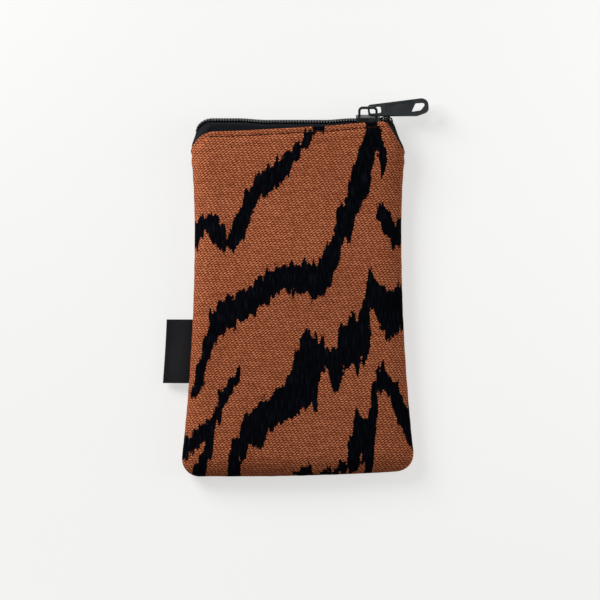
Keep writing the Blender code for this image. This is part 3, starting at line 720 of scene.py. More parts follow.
# %% Strokes, in tenths of a millimetre: across, up, half width
STRIPES = {
    "shoulder": [(102, 858, 12), (89, 842, 14), (66, 812, 17), (36, 770, 20), (14, 750, 21),
        (-38, 700, 27), (-92, 635, 42), (-158, 582, 48), (-208, 532, 42), (-242, 490, 30),
        (-260, 440, 32), (-278, 390, 33), (-296, 338, 36), (-307, 315, 38), (-333, 277, 35),
        (-353, 265, 26)],
    "shoulder_tip": [(128, 860, 6), (122, 842, 4)],
    "shoulder_brow": [(-195, 570, 20), (-230, 550, 16)],
    "shoulder_burr": [(-185, 535, 22), (-168, 516, 15)],
    "shoulder_hook": [(-445, 387, 32), (-407, 346, 36), (-398, 318, 40), (-383, 288, 36),
        (-353, 265, 26)],
    "left_wedge": [(-485, 358, 32), (-497, 315, 26), (-507, 270, 8), (-510, 245, 3)],
    "long": [(-523, -490, 7), (-503, -450, 19), (-492, -388, 19), (-478, -321, 20), (-459, -262, 19),
        (-453, -237, 19), (-427, -191, 31), (-385, -107, 48), (-338, -72, 66), (-282, -42, 60),
        (-228, -4, 55), (-177, 33, 57), (-131, 69, 55), (-81, 101, 52), (-36, 92, 68), (10, 101, 60),
        (48, 98, 73), (94, 78, 68), (124, 123, 52), (152, 173, 42), (167, 222, 38), (186, 268, 31),
        (205, 310, 30), (217, 338, 39), (239, 402, 42), (274, 467, 45), (301, 536, 45), (316, 601, 48),
        (335, 670, 36), (343, 723, 34), (366, 769, 46), (369, 812, 40), (364, 850, 25), (362, 880, 26),
        (362, 902, 25)],
    "long_fork": [(397, 768, 25), (416, 723, 18), (423, 670, 15), (425, 632, 11), (419, 593, 3)],
    "long_burr": [(278, 665, 4), (282, 628, 15), (285, 588, 20)],
    "long_tooth": [(235, 328, 15), (250, 308, 10), (255, 285, 4)],
    "long_toe": [(-26, 50, 18), (-25, 14, 9)],
    "long_toe_right": [(86, 30, 20), (84, -4, 9)],
    "right_leaf": [(422, 458, 15), (424, 440, 22), (425, 402, 30), (448, 363, 32), (482, 334, 38),
        (490, 308, 34), (482, 272, 18), (478, 245, 6)],
    "right_leaf_edge": [(515, 370, 28), (518, 322, 28), (520, 288, 12)],
    "right_block": [(356, 150, 4), (357, 118, 8), (360, 78, 19), (389, -1, 53), (442, -38, 69),
        (469, -83, 66), (465, -136, 46), (462, -168, 29)],
    "right_block_edge": [(511, 72, 4), (511, 18, 42), (522, -45, 35), (524, -112, 18), (521, -168, 4)],
    "middle_block": [(347, -26, 22), (335, -76, 25), (318, -124, 40), (288, -181, 76), (276, -237, 82),
        (275, -272, 55)],
    "middle_spike": [(278, -82, 3), (283, -124, 10)],
    "centre_top": [(41, -155, 5), (48, -198, 20), (59, -238, 48), (54, -307, 58), (54, -397, 55),
        (50, -486, 48), (25, -532, 25)],
    "centre_top_prong": [(123, -195, 4), (112, -238, 20), (100, -288, 40)],
    "centre_toe": [(70, -492, 25), (82, -535, 12), (85, -558, 4)],
    "centre_bar": [(55, -305, 55), (122, -307, 50), (180, -313, 51), (235, -284, 49), (278, -278, 50)],
    "centre_tongue": [(180, -312, 55), (188, -374, 36), (188, -441, 20), (187, -480, 4)],
    "centre_tongue_right": [(280, -282, 43), (300, -320, 25), (302, -360, 5)],
    "centre_tongue_small": [(260, -302, 20), (260, -348, 5)],
    "down_left": [(10, -454, 85), (-32, -512, 75), (-99, -557, 68), (-166, -593, 65), (-220, -647, 64),
        (-248, -700, 50), (-285, -744, 38), (-312, -798, 31), (-318, -852, 30), (-320, -898, 30)],
    "down_left_brow": [(-175, -554, 18), (-228, -596, 22)],
    "down_left_heel": [(-245, -720, 25), (-182, -706, 22)],
    "down_left_top": [(9, -272, 10), (6, -322, 22), (4, -382, 40), (-13, -442, 55)],
    "lower_left": [(-294, -361, 6), (-318, -406, 15), (-351, -454, 19), (-376, -503, 19),
        (-385, -548, 15), (-412, -598, 23), (-442, -647, 32), (-483, -687, 34), (-532, -732, 34),
        (-563, -762, 32), (-572, -788, 25)],
    "lower_left_brow": [(-415, -595, 15), (-444, -616, 16)],
    "lower_left_edge": [(-563, -710, 15), (-568, -748, 30)],
    "lower_left_leg": [(-433, -672, 15), (-444, -744, 18), (-460, -798, 21), (-487, -852, 28),
        (-498, -885, 28)],
    "arch": [(297, -580, 4), (300, -622, 25), (332, -656, 55), (322, -709, 58), (290, -748, 35),
        (278, -792, 28), (260, -840, 30), (220, -862, 25), (168, -879, 20)],
    "arch_brow": [(324, -596, 8), (326, -630, 20)],
    "arch_left": [(354, -788, 23), (354, -828, 13), (346, -882, 15)],
    "arch_inner": [(340, -738, 45), (350, -772, 28), (330, -815, 10)],
    "arch_leg": [(365, -628, 25), (376, -582, 20), (382, -538, 15), (385, -492, 14), (395, -448, 22),
        (422, -415, 30), (420, -378, 24), (418, -332, 4)],
    "arch_right": [(425, -420, 27), (473, -438, 27), (484, -498, 25), (518, -556, 31), (533, -613, 31),
        (552, -678, 23), (568, -738, 8)],
    "foot": [(62, -842, 4), (56, -866, 13), (44, -888, 23)],
    "foot_line": [(-10, -875, 15), (70, -895, 11), (185, -892, 12), (270, -890, 10)],
}
TENTHS = 10
print(len(STRIPES), "strokes with", sum(map(len, STRIPES.values())), "points")


# %% Distance to the stripes
def stripe_distance(x, y):
    """Millimetres to the nearest stroke, less its half width: below zero inside a stripe.

    On a stroke between two points the nearest share is the projection, held from 0 to 1.
    """
    nearest = np.full(x.shape, np.inf)
    for stroke in STRIPES.values():
        stroke = np.array(stroke) / TENTHS
        for (x0, y0, w0), (x1, y1, w1) in zip(stroke, stroke[1:]):
            dx, dy = x1 - x0, y1 - y0
            share = clamp(((x - x0) * dx + (y - y0) * dy) / (dx * dx + dy * dy))
            away = np.hypot(x - x0 - share * dx, y - y0 - share * dy)
            nearest = np.minimum(nearest, away - w0 - share * (w1 - w0))
    return nearest


middle = stripe_distance(np.zeros(1), np.zeros(1))
print("middle of the cloth:", round(float(middle[0]), 1), "mm from a stripe")

# %% [markdown]
# ## The woven cloth
#
# A jacquard shows its pattern with two sets of threads. On the rust ground short light threads lie
# over a darker red, each leaning a little to the right. In the stripes the dark threads lie on
# top. Two families of slanted lines on the cloth map cut it into cells, one for each place where a
# thread comes up. So the weave turns with the cloth, and the same numbers give its colour and its
# bump.

# %% Weave
THREADS = (500.0, -760.0)   # threads a metre, across and up: they lean up to the right
FLOATS = (500.0, 300.0)     # places a metre where a thread comes up to float
RIBS = (36.0, 800.0)        # beaten-in rows a metre, almost level
RIB_DEPTH = 0.24
FLOAT_BLUNT = 0.45          # under 1 makes a float blunt at its ends
WANDER = 260                # patches a metre in which the threads drift


def weave(finish, place):
    """Light threads as leaning dashes: a sine across each thread times a sine along its float.

    Two families of slanted lines cut the cloth into cells, and noise pushes both a little.
    """
    across, up = place
    wander = finish.cloth_noise(place, WANDER, WANDER) - 0.5
    thread = across * THREADS[0] + up * THREADS[1] + wander
    float_at = across * FLOATS[0] + up * FLOATS[1] + wander
    float_height = (float_at.fraction() * math.pi).sine().power(FLOAT_BLUNT)
    dash = (thread.fraction() * math.pi).sine() * float_height
    ribs = (across * RIBS[0] + up * RIBS[1]).wave() * RIB_DEPTH
    return finish.chance(thread.floor(), float_at.floor()), dash + ribs


print("threads", round(1000 / math.hypot(*THREADS), 2), "mm apart")

# %% Jacquard
GROUND_RED = (0.140, 0.023, 0.006)
LIGHT_RUST = (0.68, 0.238, 0.112)
LIT_FROM = 0.30             # how high on a float its light colour starts
LIT_GAIN = 1.7              # and how fast it grows from there
LIT_CHANCE = (0.70, 0.50)   # each float is this light, and up to this more by chance
LIT_SHARES = (0.40, 0.45, 0.50)     # everywhere, by patches, by slubs
SLUBS = (70, 500)           # a metre, across and up
PATCHES = 28.0
STRIPE_BLACK = (0.0012, 0.0014, 0.0025)
STRIPE_NAVY = (0.005, 0.006, 0.010)
STREAKS = (1500, 160)       # in the dark threads, a metre
STREAK_CONTRAST = 5
SPIKE_WIDTH = 2.8 * MM      # a stripe's edge runs out in spikes along the threads
SPIKE_LENGTH = 13.0 * MM
RAGGED = 11.0               # millimetres, for the whole range of the noise
FRINGE = 1.1                # and is jagged from one thread to the next
ROW = 1.0 * MM
COLUMN = 0.55 * MM
SIDE_ON = 0.25              # what is left of both where the edge runs along the threads
WIDER = 0.4                 # millimetres that each stripe gains all round
EDGE_SOFTNESS = 0.25
WEAVE_HEIGHT = 0.10 * MM
STRIPE_FLATTER = 0.5        # the share of its relief that a stripe loses


def jacquard_finish():
    """Rust floats over a red ground, and black where the distance to a stripe is low."""
    finish = Finish("jacquard_cloth", roughness=0.9, specular=0.02)
    place = across, up = finish.cloth_place()
    luck, dash = weave(finish, place)
    spikes = finish.cloth_noise(place, 1 / SPIKE_WIDTH, 1 / SPIKE_LENGTH) - 0.5
    fringe = finish.chance((across / COLUMN).floor(), (up / ROW).floor()) - 0.5
    reach = SIDE_ON + finish.measure("end_on")
    edge = finish.measure("stripe") + (spikes * RAGGED + fringe * FRINGE) * reach
    dark = edge.below(WIDER, EDGE_SOFTNESS)
    lit = ((dash - LIT_FROM) * LIT_GAIN).clamped() * (LIT_CHANCE[0] + LIT_CHANCE[1] * luck)
    even, by_patches, by_slubs = LIT_SHARES
    shares = (even + by_patches * finish.noise(finish.object_place(), PATCHES)
              + by_slubs * finish.cloth_noise(place, *SLUBS))
    rust = finish.mix((lit * shares).clamped(), GROUND_RED, LIGHT_RUST)
    streaks = finish.cloth_noise(place, *STREAKS, detail=1.0) - 0.5
    black = finish.mix((streaks * STREAK_CONTRAST).clamped(), STRIPE_BLACK, STRIPE_NAVY)
    height = dash * (1.0 - dark * STRIPE_FLATTER)
    return finish.finished(Base_Color=finish.mix(dark, rust, black),
                           Normal=finish.bump(height, WEAVE_HEIGHT))


jacquard_cloth = jacquard_finish()
print("ground, light and stripe:", GROUND_RED, LIGHT_RUST, STRIPE_BLACK)

# %% [markdown]
# ## The outer panels
#
# A padded panel is never quite flat: it puffs between its seams, sinks under the topstitch and
# puckers along the sides. A cloth simulation could find such a shape. Here the zip and every stitch
# have to lie on exactly the same surface, so the relief is worked out too, as a sum of small waves.

# %% Relief of the outer cloth
STITCH_DEPTH = 2.6 * MM
STITCH_PITCH = 2.7 * MM
GROOVE = 0.50 * MM
GROOVE_WIDTH = 0.65 * MM
DIMPLE = 0.25             # the groove swings by this share either way with the stitches
HEM_PUFF = 0.30 * MM
PUFF_BELOW = 3 * MM
PUFF_WIDTH = 1.8 * MM
PUCKER = 0.07 * MM
PUCKER_REACH = 7 * MM
SIDE_PUCKER = (700, 90, 410, 1.3)     # fast, bend, slow and shift, as ripple takes them
LOW_PUCKER = (640, 80, 370, 0.6)
WAVE = 0.30 * MM
WAVES = ((85, 40, 1), (-25, 62, 0), (47, -96, 2))      # across, up and shift of each
CALM_EDGE = 10 * MM
RELIEF = {"front": 1.0, "back": 0.5}     # the back is pressed flatter


def hem_thickness(u, v):
    """The cloth is doubled over the hem's depth, and thins to one layer by half as far again."""
    below_fold = (fold_y(u) - bottom_y(u, 0.0)) * (1 - v)
    return FABRIC + (HEM - FABRIC) * smooth((1.5 * HEM_DEPTH - below_fold) / (0.5 * HEM_DEPTH))


def ripple(length, fast, bend, slow, shift):
    """Uneven puckers: the mean of a fast sine that is itself bent by a sine, and a slow one."""
    return (np.sin(length * fast + 3 * np.sin(length * bend)) + np.sin(length * slow + shift)) / 2


def relief(face, u, side):
    """How far the cloth stands off: a groove under the topstitch, a puffed hem, puckers, waves."""
    x, y = face[..., 0], face[..., 1]
    below_stitch = fold_y(u) - y - STITCH_DEPTH
    groove = GROOVE * np.exp(-(below_stitch / GROOVE_WIDTH) ** 2)
    dimple = 1 - DIMPLE + DIMPLE * np.cos(2 * math.pi * x / STITCH_PITCH)
    puff = HEM_PUFF * np.exp(-((below_stitch - PUFF_BELOW) / PUFF_WIDTH) ** 2)
    from_side = half_width(y) - np.abs(x)
    from_bottom = y - BOTTOM_Y
    puckers = PUCKER * (np.exp(-(from_side / PUCKER_REACH) ** 2) * ripple(y, *SIDE_PUCKER)
                        + np.exp(-(from_bottom / PUCKER_REACH) ** 2) * ripple(x, *LOW_PUCKER))
    first, second, third = (np.sin(x * a + y * b + c) for a, b, c in WAVES)
    calm = clamp(from_side / CALM_EDGE) * clamp(from_bottom / CALM_EDGE)
    return RELIEF[side] * (puff - groove * dimple + puckers
                           + WAVE * (first * second + third / 2) * calm)


print("groove", round(1000 * GROOVE, 1), "mm deep")

# %% Outer panels
OUTER_STEPS = (14, 104, 150)     # at a rounded edge, across and up
MOUTH_STEPS = (28, 50)           # at the mouth so many of them give way to so many short ones
MOUTH_FROM = 0.84


def stripe_measures(x, y):
    """The distance to the stripes, and how squarely a stripe's edge meets the upright threads.

    The second is the slope of the distance along the threads: 1 where they run into the edge.
    """
    slope = stripe_distance(x, y + 0.5) - stripe_distance(x, y - 0.5)
    return {"stripe": stripe_distance(x, y), "end_on": np.abs(slope)}


for side, turn in OUTWARD.items():
    across, up = panel_grid(ROUNDING[side], *OUTER_STEPS)
    up = np.concatenate([up[:-MOUTH_STEPS[0]], np.linspace(MOUTH_FROM, 1.0, MOUTH_STEPS[1])])
    u, v = np.meshgrid(across, up, indexing="ij")
    face = panel_surface(u, v, 0.0, HEM / 2, side, SEAM_HEIGHT)
    inner = panel_surface(u, v, hem_thickness(u, v), HEM / 2, side, SEAM_HEIGHT)
    cloth = cloth_map(face)
    measures = stripe_measures(turn * face[..., 0] / MM, turn * face[..., 1] / MM)
    face = face + turn * grid_normals(face) * relief(face, u, side)[..., None]
    if side == "back":
        face[..., 2] = np.maximum(face[..., 2], 0.0)     # it lies on the table
    piece = panel_shell("outer_cloth_" + side, side, face, inner, HEM, jacquard_cloth,
                        cloth, measures)
    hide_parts("outer_" + side)
    print(piece.name, len(piece.data.polygons), "faces")

# %% [markdown]
# ## Wadding and lining
#
# Under the cloth lies soft white wadding, and inside it a black cotton lining. They hardly show
# while the case is closed, but they are there when it opens, so they follow the same surface with
# a larger inset. The wadding is a mat of fine fibres and the lining a plain weave.

# %% Fibres and cotton
FIBRE_COLOURS = ((0.70, 0.69, 0.66), (0.88, 0.87, 0.84))
FIBRES = 900.0            # a metre
FIBRE_HEIGHT = 0.3 * MM
COTTON_COLOURS = ((0.010, 0.010, 0.011), (0.028, 0.028, 0.030))
COTTON_PITCH = 0.8 * MM
COTTON_FUZZ = 300.0
COTTON_SHARES = (0.5, 0.3, 0.4)     # everywhere, by the weave, by fuzz
COTTON_HEIGHT = 0.06 * MM


def fibre_finish():
    """Fibres: fine noise that is both the colour and the relief."""
    finish = Finish("white_fibres", roughness=1.0, specular=0.1)
    fibres = finish.noise(finish.object_place(), FIBRES, 3.0)
    return finish.finished(Base_Color=finish.mix(fibres, *FIBRE_COLOURS),
                           Normal=finish.bump(fibres, FIBRE_HEIGHT))


def cotton_finish():
    """Plain weave: over and under in turn, a sine across times a sine up."""
    finish = Finish("black_cotton", roughness=0.85, specular=0.2)
    across, up = finish.cloth_place()
    plain = across.wave(COTTON_PITCH) * up.wave(COTTON_PITCH)
    fuzz = finish.noise(finish.object_place(), COTTON_FUZZ) - 0.5
    even, by_weave, by_fuzz = COTTON_SHARES
    colour = finish.mix(even + by_weave * plain + by_fuzz * fuzz, *COTTON_COLOURS)
    return finish.finished(Base_Color=colour, Normal=finish.bump(plain, COTTON_HEIGHT))


white_fibres = fibre_finish()
black_cotton = cotton_finish()
print("finishes:", white_fibres.name, black_cotton.name)

# %% Inner layers
INNER_STEPS = (8, 40, 64)


def inner_layer(kind, side, inset, thickness, setback, finish):
    """A layer inside the panel, with its cut width and length, and its area."""
    u, v = np.meshgrid(*panel_grid(ROUNDING[side] - inset, *INNER_STEPS), indexing="ij")
    foot = SEAM_HEIGHT + OUTWARD[side] * LAYER_GAP / 2
    face = panel_surface(u, v, inset, setback, side, foot)
    inner = panel_surface(u, v, inset + thickness, setback, side, foot)
    piece = panel_shell(kind + "_fine_" + side, side, face, inner, thickness, finish,
                        cloth_map(face), {})
    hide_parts(kind + "_" + side)
    cut_size = [round(float(lengths(face, axis).max()), 4) for axis in (0, 1)]
    steps = np.cross(np.diff(face, axis=0)[:, :-1], np.diff(face, axis=1)[:-1])
    return piece, cut_size, float(np.linalg.norm(steps, axis=2).sum())


for side in OUTWARD:
    pad, _, _ = inner_layer("wadding", side, WADDING_INSET, WADDING, WADDING_SETBACK, white_fibres)
    lined, cut_size, cut_area = inner_layer("lining", side, LINING_INSET, LINING, LINING_SETBACK,
                                            black_cotton)
    print(side, "lining cut to", cut_size)

# %% [markdown]
# ## The topstitch
#
# Two rows of thread hold the zip's tape under the hem, one along each folded edge. The thread dips
# into the cloth between stitches, so each stitch is its own short bow of thread, laid in the groove
# that was pressed for it. A painted dash would do from far off, but only a real bow stands up in a
# side view.

# %% Thread
STITCH = 2.45 * MM
THREAD = 0.50 * MM
THREAD_SIDES = 6
# Partly painted shade: the thread's own dark rust, darkened further to stand in for the shade of the
# groove it lies in.
THREAD_AND_GROOVE_SHADE_COLOURS = ((0.020, 0.005, 0.004), (0.052, 0.013, 0.008))
TWIST = (0.5 * MM, 1.3 * MM)     # pitch along and round the thread
TWIST_HEIGHT = 0.04 * MM


def thread_finish():
    """Twisted thread: a slanted wave round it, in the thread's dark rust, darkened further as painted
    shade for its groove.
    """
    finish = Finish("rust_thread", roughness=0.8, specular=0.08)
    along, round_it = finish.cloth_place()
    twist = (along / TWIST[0] + round_it / TWIST[1]).ribs()
    return finish.finished(Base_Color=finish.mix(twist, *THREAD_AND_GROOVE_SHADE_COLOURS),
                           Normal=finish.bump(twist, TWIST_HEIGHT))


rust_thread = thread_finish()
print("thread", round(1000 * THREAD, 1), "mm thick")

# %% Topstitch
STITCHED = (-44 * MM, 42 * MM)
BOW_HEIGHT = 0.35         # of the thread's thickness, as the next is
BOW_DIP = 0.45
BOW_BLUNT = 0.6
TABLE_CLEARANCE = 0.1 * MM
STITCH_POINTS = 7


def topstitch(side):
    """Stitches along the mouth: centres on the panel, raised by a blunt half sine over each."""
    start = np.arange(*STITCHED, STITCH_PITCH)
    share = np.linspace(0, 1, STITCH_POINTS)
    x = start[:, None] + STITCH * share[None]
    u = x / SHOULDER_HALF_WIDTH
    low = bottom_y(u, 0.0)
    v = (fold_y(u) - STITCH_DEPTH - low) / (fold_y(u) - HEM / 2 - low)
    seat = panel_surface(u, v, 0.0, HEM / 2, side, SEAM_HEIGHT)
    bow = (BOW_HEIGHT + BOW_DIP * (np.sin(share * math.pi) ** BOW_BLUNT - 1)) * THREAD
    seat[..., 2] += OUTWARD[side] * (bow + relief(seat, u, side))
    if side == "back":
        seat[..., 2] = np.maximum(seat[..., 2], TABLE_CLEARANCE)
    radius = THREAD / 2 * np.ones(x.shape)
    radius[:, [0, -1]] = THREAD / 4
    piece = threads("topstitch_" + side, seat, UPRIGHT, radius, THREAD_SIDES, rust_thread, "case")
    print(piece.name, len(start), "stitches")


for side in OUTWARD:
    topstitch(side)

# %% [markdown]
# ## The zip's tapes
#
# A zip's tape is a stout ribbon woven in herringbone. Here it folds over lengthwise at the mouth:
# its margin is sewn in under the hem, and its inner edge carries the coil. When the zip opens, the
# middle of that edge turns outwards while its ends stay sewn. Here the edge is a ribbon made as two
# halves that meet in the middle.

# %% Zip coordinates
ZIP_SAG = 0.8 * MM        # the closed zip hangs a little between the two ends of the slider's way
SAG_RISE = (-30 * MM, 14 * MM)
SAG_FALL = (14 * MM, 13 * MM)
OPEN_BULGE = 2.8 * MM     # and the open end beyond the slider stands up
BULGE_STEP = 4 * MM


def hump(s, rise, fall):
    """Up to 1 and back to 0: one eased step times what another leaves. Each is (start, length)."""
    return eased(s, *rise) * (1 - eased(s, *fall))


def on_zip(s, n, w):
    """Point from zip coordinates: along, out of the zip's face, and across it towards the front.

    The middle line is straight, then an arc and a tail at each end. Past the corners the zip
    narrows, sinks to the side seam, and what is sewn in under the hem runs out.
    """
    s, n, w = np.broadcast_arrays(np.asarray(s, float), np.asarray(n, float), np.asarray(w, float))
    left = s < TURN_X[0]
    radius = np.where(left, *TURN_RADIUS)
    turn = np.where(left, *TURN)
    side = np.where(left, -1.0, 1.0)
    start = clamp(s, *TURN_X)
    along = np.abs(s - start)
    angle = np.minimum(along / radius, turn)
    tail = np.maximum(0.0, along - radius * turn)
    bend = clamp(along / (turn * radius + np.where(left, *TAIL)))
    x = start + side * (radius * np.sin(angle) + tail * np.cos(angle))
    y = ZIP_Y - radius * (1 - np.cos(angle)) - tail * np.sin(angle)
    y = y - ZIP_SAG * hump(s, SAG_RISE, SAG_FALL)
    open_end = hump(s, (SLIDER_X + SLIDER_LENGTH / 2, BULGE_STEP), (TURN_X[1], BULGE_STEP))
    n = n + OPEN_BULGE * open_end * clamp(1 - np.abs(w) / FOLD_W)
    w = w * (1 - (1 - END_WIDTH_SHARE) * smooth(NARROWING * bend))
    n = np.where(n < 0, n * (1 - smooth(MARGIN_FADE * bend)), n)
    out = n * math.cos(TILT) - w * math.sin(TILT)
    z = (ZIP_Z + (SEAM_HEIGHT - ZIP_Z) * smooth(bend) + n * math.sin(TILT) + w * math.cos(TILT))
    return np.stack([x + side * np.sin(angle) * out, y + np.cos(angle) * out, z], axis=-1)


print("zip middle at", [round(1000 * float(c), 2) for c in on_zip(0, 0, 0)])

# %% Herringbone
TAPE_COLOURS = ((0.0042, 0.0048, 0.0065), (0.012, 0.0135, 0.0175))
BONE_WIDTH = 1.6 * MM
BONE_PITCH = 0.45 * MM
BONE_SLANT = 3.0
BONE_HEIGHT = 0.07 * MM
TAPE_FUZZ = 400.0
TAPE_FUZZ_LEVEL = 0.35
TAPE_SHARES = (0.75, 0.5)     # by ribs, by fuzz


def tape_finish():
    """Herringbone: slanted ribs that turn back at every rib's width."""
    finish = Finish("herringbone_tape", roughness=0.8, specular=0.06)
    along, up = finish.cloth_place()
    fold = ((up / BONE_WIDTH).fraction() - 0.5).absolute()
    ribs = (along / BONE_PITCH + fold * BONE_SLANT).ribs()
    fuzz = finish.noise(finish.object_place(), TAPE_FUZZ) - TAPE_FUZZ_LEVEL
    share = (ribs * TAPE_SHARES[0] + fuzz * TAPE_SHARES[1]).clamped()
    return finish.finished(Base_Color=finish.mix(share, *TAPE_COLOURS),
                           Normal=finish.bump(ribs, BONE_HEIGHT))


herringbone = tape_finish()
print("herringbone turns back every", round(500 * BONE_WIDTH, 1), "mm")

# %% Sewn tapes
CORNER_EASE = 4 * MM
CORNER_SETBACK = 1.4 * MM
CORNER_BULGE = 0.9 * MM
SEAM_REACH = (4.5 * MM, 4.0 * MM)     # the sewn tape runs on past the coil, down the side seam
GATHERED = 0.9            # the share of its width that the tape loses in the seam
TAPE_STEPS = 170
BEND_STEPS = 9


def corner_web(s, edge, rows, side):
    """Past the corners the tape spreads from its edge to the inside of the hem.

    Each line of the web is straight from one to the other, raised by a half sine.
    """
    u = np.interp(s, [ZIP_LOW, *TURN_X, ZIP_HIGH],
                  [-1, TURN_X[0] / SHOULDER_HALF_WIDTH, TURN_X[1] / SHOULDER_HALF_WIDTH, 1])
    past_end = np.maximum(ZIP_LOW - s, s - ZIP_HIGH)
    v = 1 - np.maximum(past_end, 0) / (SIDE_TOP_Y - BOTTOM_Y)
    seat = panel_surface(u, v, HEM / 2, CORNER_SETBACK, side, SEAM_HEIGHT)
    gathered = GATHERED * smooth(past_end / SEAM_REACH[0])[:, None]
    edge = edge * (1 - gathered) + seat * gathered
    share = np.linspace(0, 1, rows)[None, :, None]
    web = edge[:, None] * (1 - share) + seat[:, None] * share
    return web + np.sin(math.pi * share) * OUTWARD[side] * CORNER_BULGE * UPRIGHT


def tape_margin(side):
    """The sewn part: from the fold, round its bend, and back under the hem."""
    sign = OUTWARD[side]
    bend = FRONT_BEND if side == "front" else BACK_BEND
    angle = np.linspace(0, math.pi / 2 - sign * TILT, BEND_STEPS)
    n = np.concatenate([[0.0], -bend * (1 - np.cos(angle))])
    w = np.concatenate([[FOLD_W - EDGE_PLAY], FOLD_W + bend * np.sin(angle)]) * sign
    n = np.append(n, n[-1] - TAPE_MARGIN * math.cos(TILT))
    w = np.append(w, w[-1] + TAPE_MARGIN * math.sin(TILT))
    s = np.linspace(ZIP_LOW - SEAM_REACH[0], ZIP_HIGH + SEAM_REACH[1], TAPE_STEPS)
    middle = on_zip(s[:, None], n[None], w[None])
    past = smooth(np.maximum(TURN_X[0] - s, s - TURN_X[1]) / CORNER_EASE)[:, None, None]
    middle = middle * (1 - past) + corner_web(s, middle[:, 0], len(n), side) * past
    piece = slab("tape_sewn_" + side, middle, TAPE, herringbone, "case")
    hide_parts("zip_tape_" + side)
    print(piece.name, len(piece.data.polygons), "faces")


for side in OUTWARD:
    tape_margin(side)

# %% Turning edges
TURN_IN = 18 * MM         # a length for the edge to pass from sewn to turning, kept in HALVES but not used
HALVES = {                # its two ends, then where it starts to turn and which way that goes on
    "left": (ZIP_LOW, 0.0, FLAP_LOW_X, TURN_IN),
    "right": (0.0, ZIP_HIGH, FLAP_HIGH_X, -TURN_IN),
}
EDGE_STEPS = (110, 7)


def turn_with(piece, half):
    """Bakes the piece's placing into its mesh. The hinge and step of its half are looked up, but
    nothing is done with them.
    """
    hinge, step = HALVES[half][2:]
    hinge + step
    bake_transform(piece)


def tape_edge(side, half):
    """The ribbon between the coil and the fold: level across the zip, along its middle line."""
    low, high = HALVES[half][:2]
    s = np.linspace(low, high, EDGE_STEPS[0])
    w = np.linspace(TAPE_EDGE, FOLD_W - EDGE_PLAY, EDGE_STEPS[1])
    middle = on_zip(s[:, None], 0.0, OUTWARD[side] * w[None])
    cloth = np.stack(np.meshgrid(s, w, indexing="ij"), axis=-1)
    piece = slab("tape_edge_" + side + "_" + half, middle, TAPE, herringbone, None, cloth)
    turn_with(piece, half)
    return piece


for side in OUTWARD:
    for half in HALVES:
        strip = tape_edge(side, half)
    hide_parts("zip_edge_" + side)
    print(side, "edge made in two halves")

# %% [markdown]
# ## The coils
#
# A coil zip has no separate teeth: a stiff nylon thread is wound into a flattened helix and sewn to
# each tape, and the turns of one side catch between those of the other. So each coil is a real
# helix, half a turn out of step with its neighbour. Past the slider, where the zip is still open,
# the two stand apart.

# %% Nylon
FILAMENT = 0.72 * MM
NYLON_COLOURS = ((0.008, 0.009, 0.011), (0.022, 0.023, 0.026))
NYLON_WEAR = 700.0
NYLON_ROUGHNESS = (0.25, 0.20)     # at least, and more by wear


def nylon_finish():
    """Worn nylon: one noise gives both the paler and the rougher places."""
    finish = Finish("nylon_coil", specular=0.5)
    wear = finish.noise(finish.object_place(), NYLON_WEAR)
    return finish.finished(Base_Color=finish.mix(wear, *NYLON_COLOURS),
                           Roughness=NYLON_ROUGHNESS[0] + NYLON_ROUGHNESS[1] * wear)


nylon = nylon_finish()
print("nylon", round(1000 * FILAMENT, 2), "mm thick")

# %% Coils
TURN_POINTS = 18
FILAMENT_SIDES = 6
CORE = 0.85 * MM          # a cord fills each coil and holds its shape
CORE_W = 1.1 * MM
CORE_POINTS = 90
CORE_SIDES = 8
END_TAPER = 4 * MM
END_SIZE = 0.45           # of a turn, and the next of its filament
END_FILAMENT = 0.4


def coil_ends(s):
    """1 along the coil, falling to END_SIZE at its two ends."""
    return END_SIZE + (1 - END_SIZE) * smooth((s - ZIP_LOW - TAIL[0]) / END_TAPER) * smooth(
        (ZIP_HIGH - TAIL[1] - s) / END_TAPER)


def spread(s):
    """How far a coil stands off its neighbour: opening past the slider, closing at its end."""
    return COIL_SPREAD * clamp((s - SLIDER_X) / CHANNEL_FLARE) * (2 * coil_ends(s) - 1)


def coil(side, half):
    """A flattened helix: cosine across the tape, sine off it, one pitch along for each turn."""
    sign = OUTWARD[side]
    name = "coil_" + side + "_" + half
    shift = 0.0 if side == "front" else 0.5
    first = math.ceil((ZIP_LOW + TAIL[0]) / COIL_PITCH - shift) if half == "left" else 0
    last = math.floor((ZIP_HIGH - TAIL[1]) / COIL_PITCH - shift) if half == "right" else 0
    turns = np.linspace(first, last, (last - first) * TURN_POINTS + 1)
    s = (turns + shift) * COIL_PITCH
    ends = coil_ends(s)
    angle = 2 * math.pi * turns
    reach_across = (COIL_WIDTH + HEAD_LAP - FILAMENT) / 2 * ends
    w = (COIL_WIDTH - HEAD_LAP) / 2 - reach_across * np.cos(angle) + spread(s)
    n = COIL_LOW + ends * (COIL_HEIGHT / 2 + (COIL_HEIGHT - FILAMENT) / 2 * np.sin(angle))
    guide = unit(np.gradient(on_zip(s, COIL_LOW, 0.0), axis=0))
    radius = FILAMENT / 2 * (END_FILAMENT + (1 - END_FILAMENT) * ends)
    helix = threads(name + "_helix", on_zip(s, n, sign * w)[None], guide[None], radius[None],
                    FILAMENT_SIDES, nylon, None)
    turn_with(helix, half)
    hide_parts("coil_end_" + half + "_" + side)
    print(helix.name, last - first, "turns")
    s = np.linspace(s[0], s[-1], CORE_POINTS)
    ends = coil_ends(s)
    middle = on_zip(s, COIL_LOW + ends * COIL_HEIGHT / 2, sign * (CORE_W + spread(s)))
    core = threads(name + "_core", middle[None], UPRIGHT, CORE / 2 * ends[None], CORE_SIDES,
                   herringbone, None)
    turn_with(core, half)
    return helix


for side in OUTWARD:
    for half in HALVES:
        wound = coil(side, half)
    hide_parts("coil_" + side, "coil_end_right_" + side)

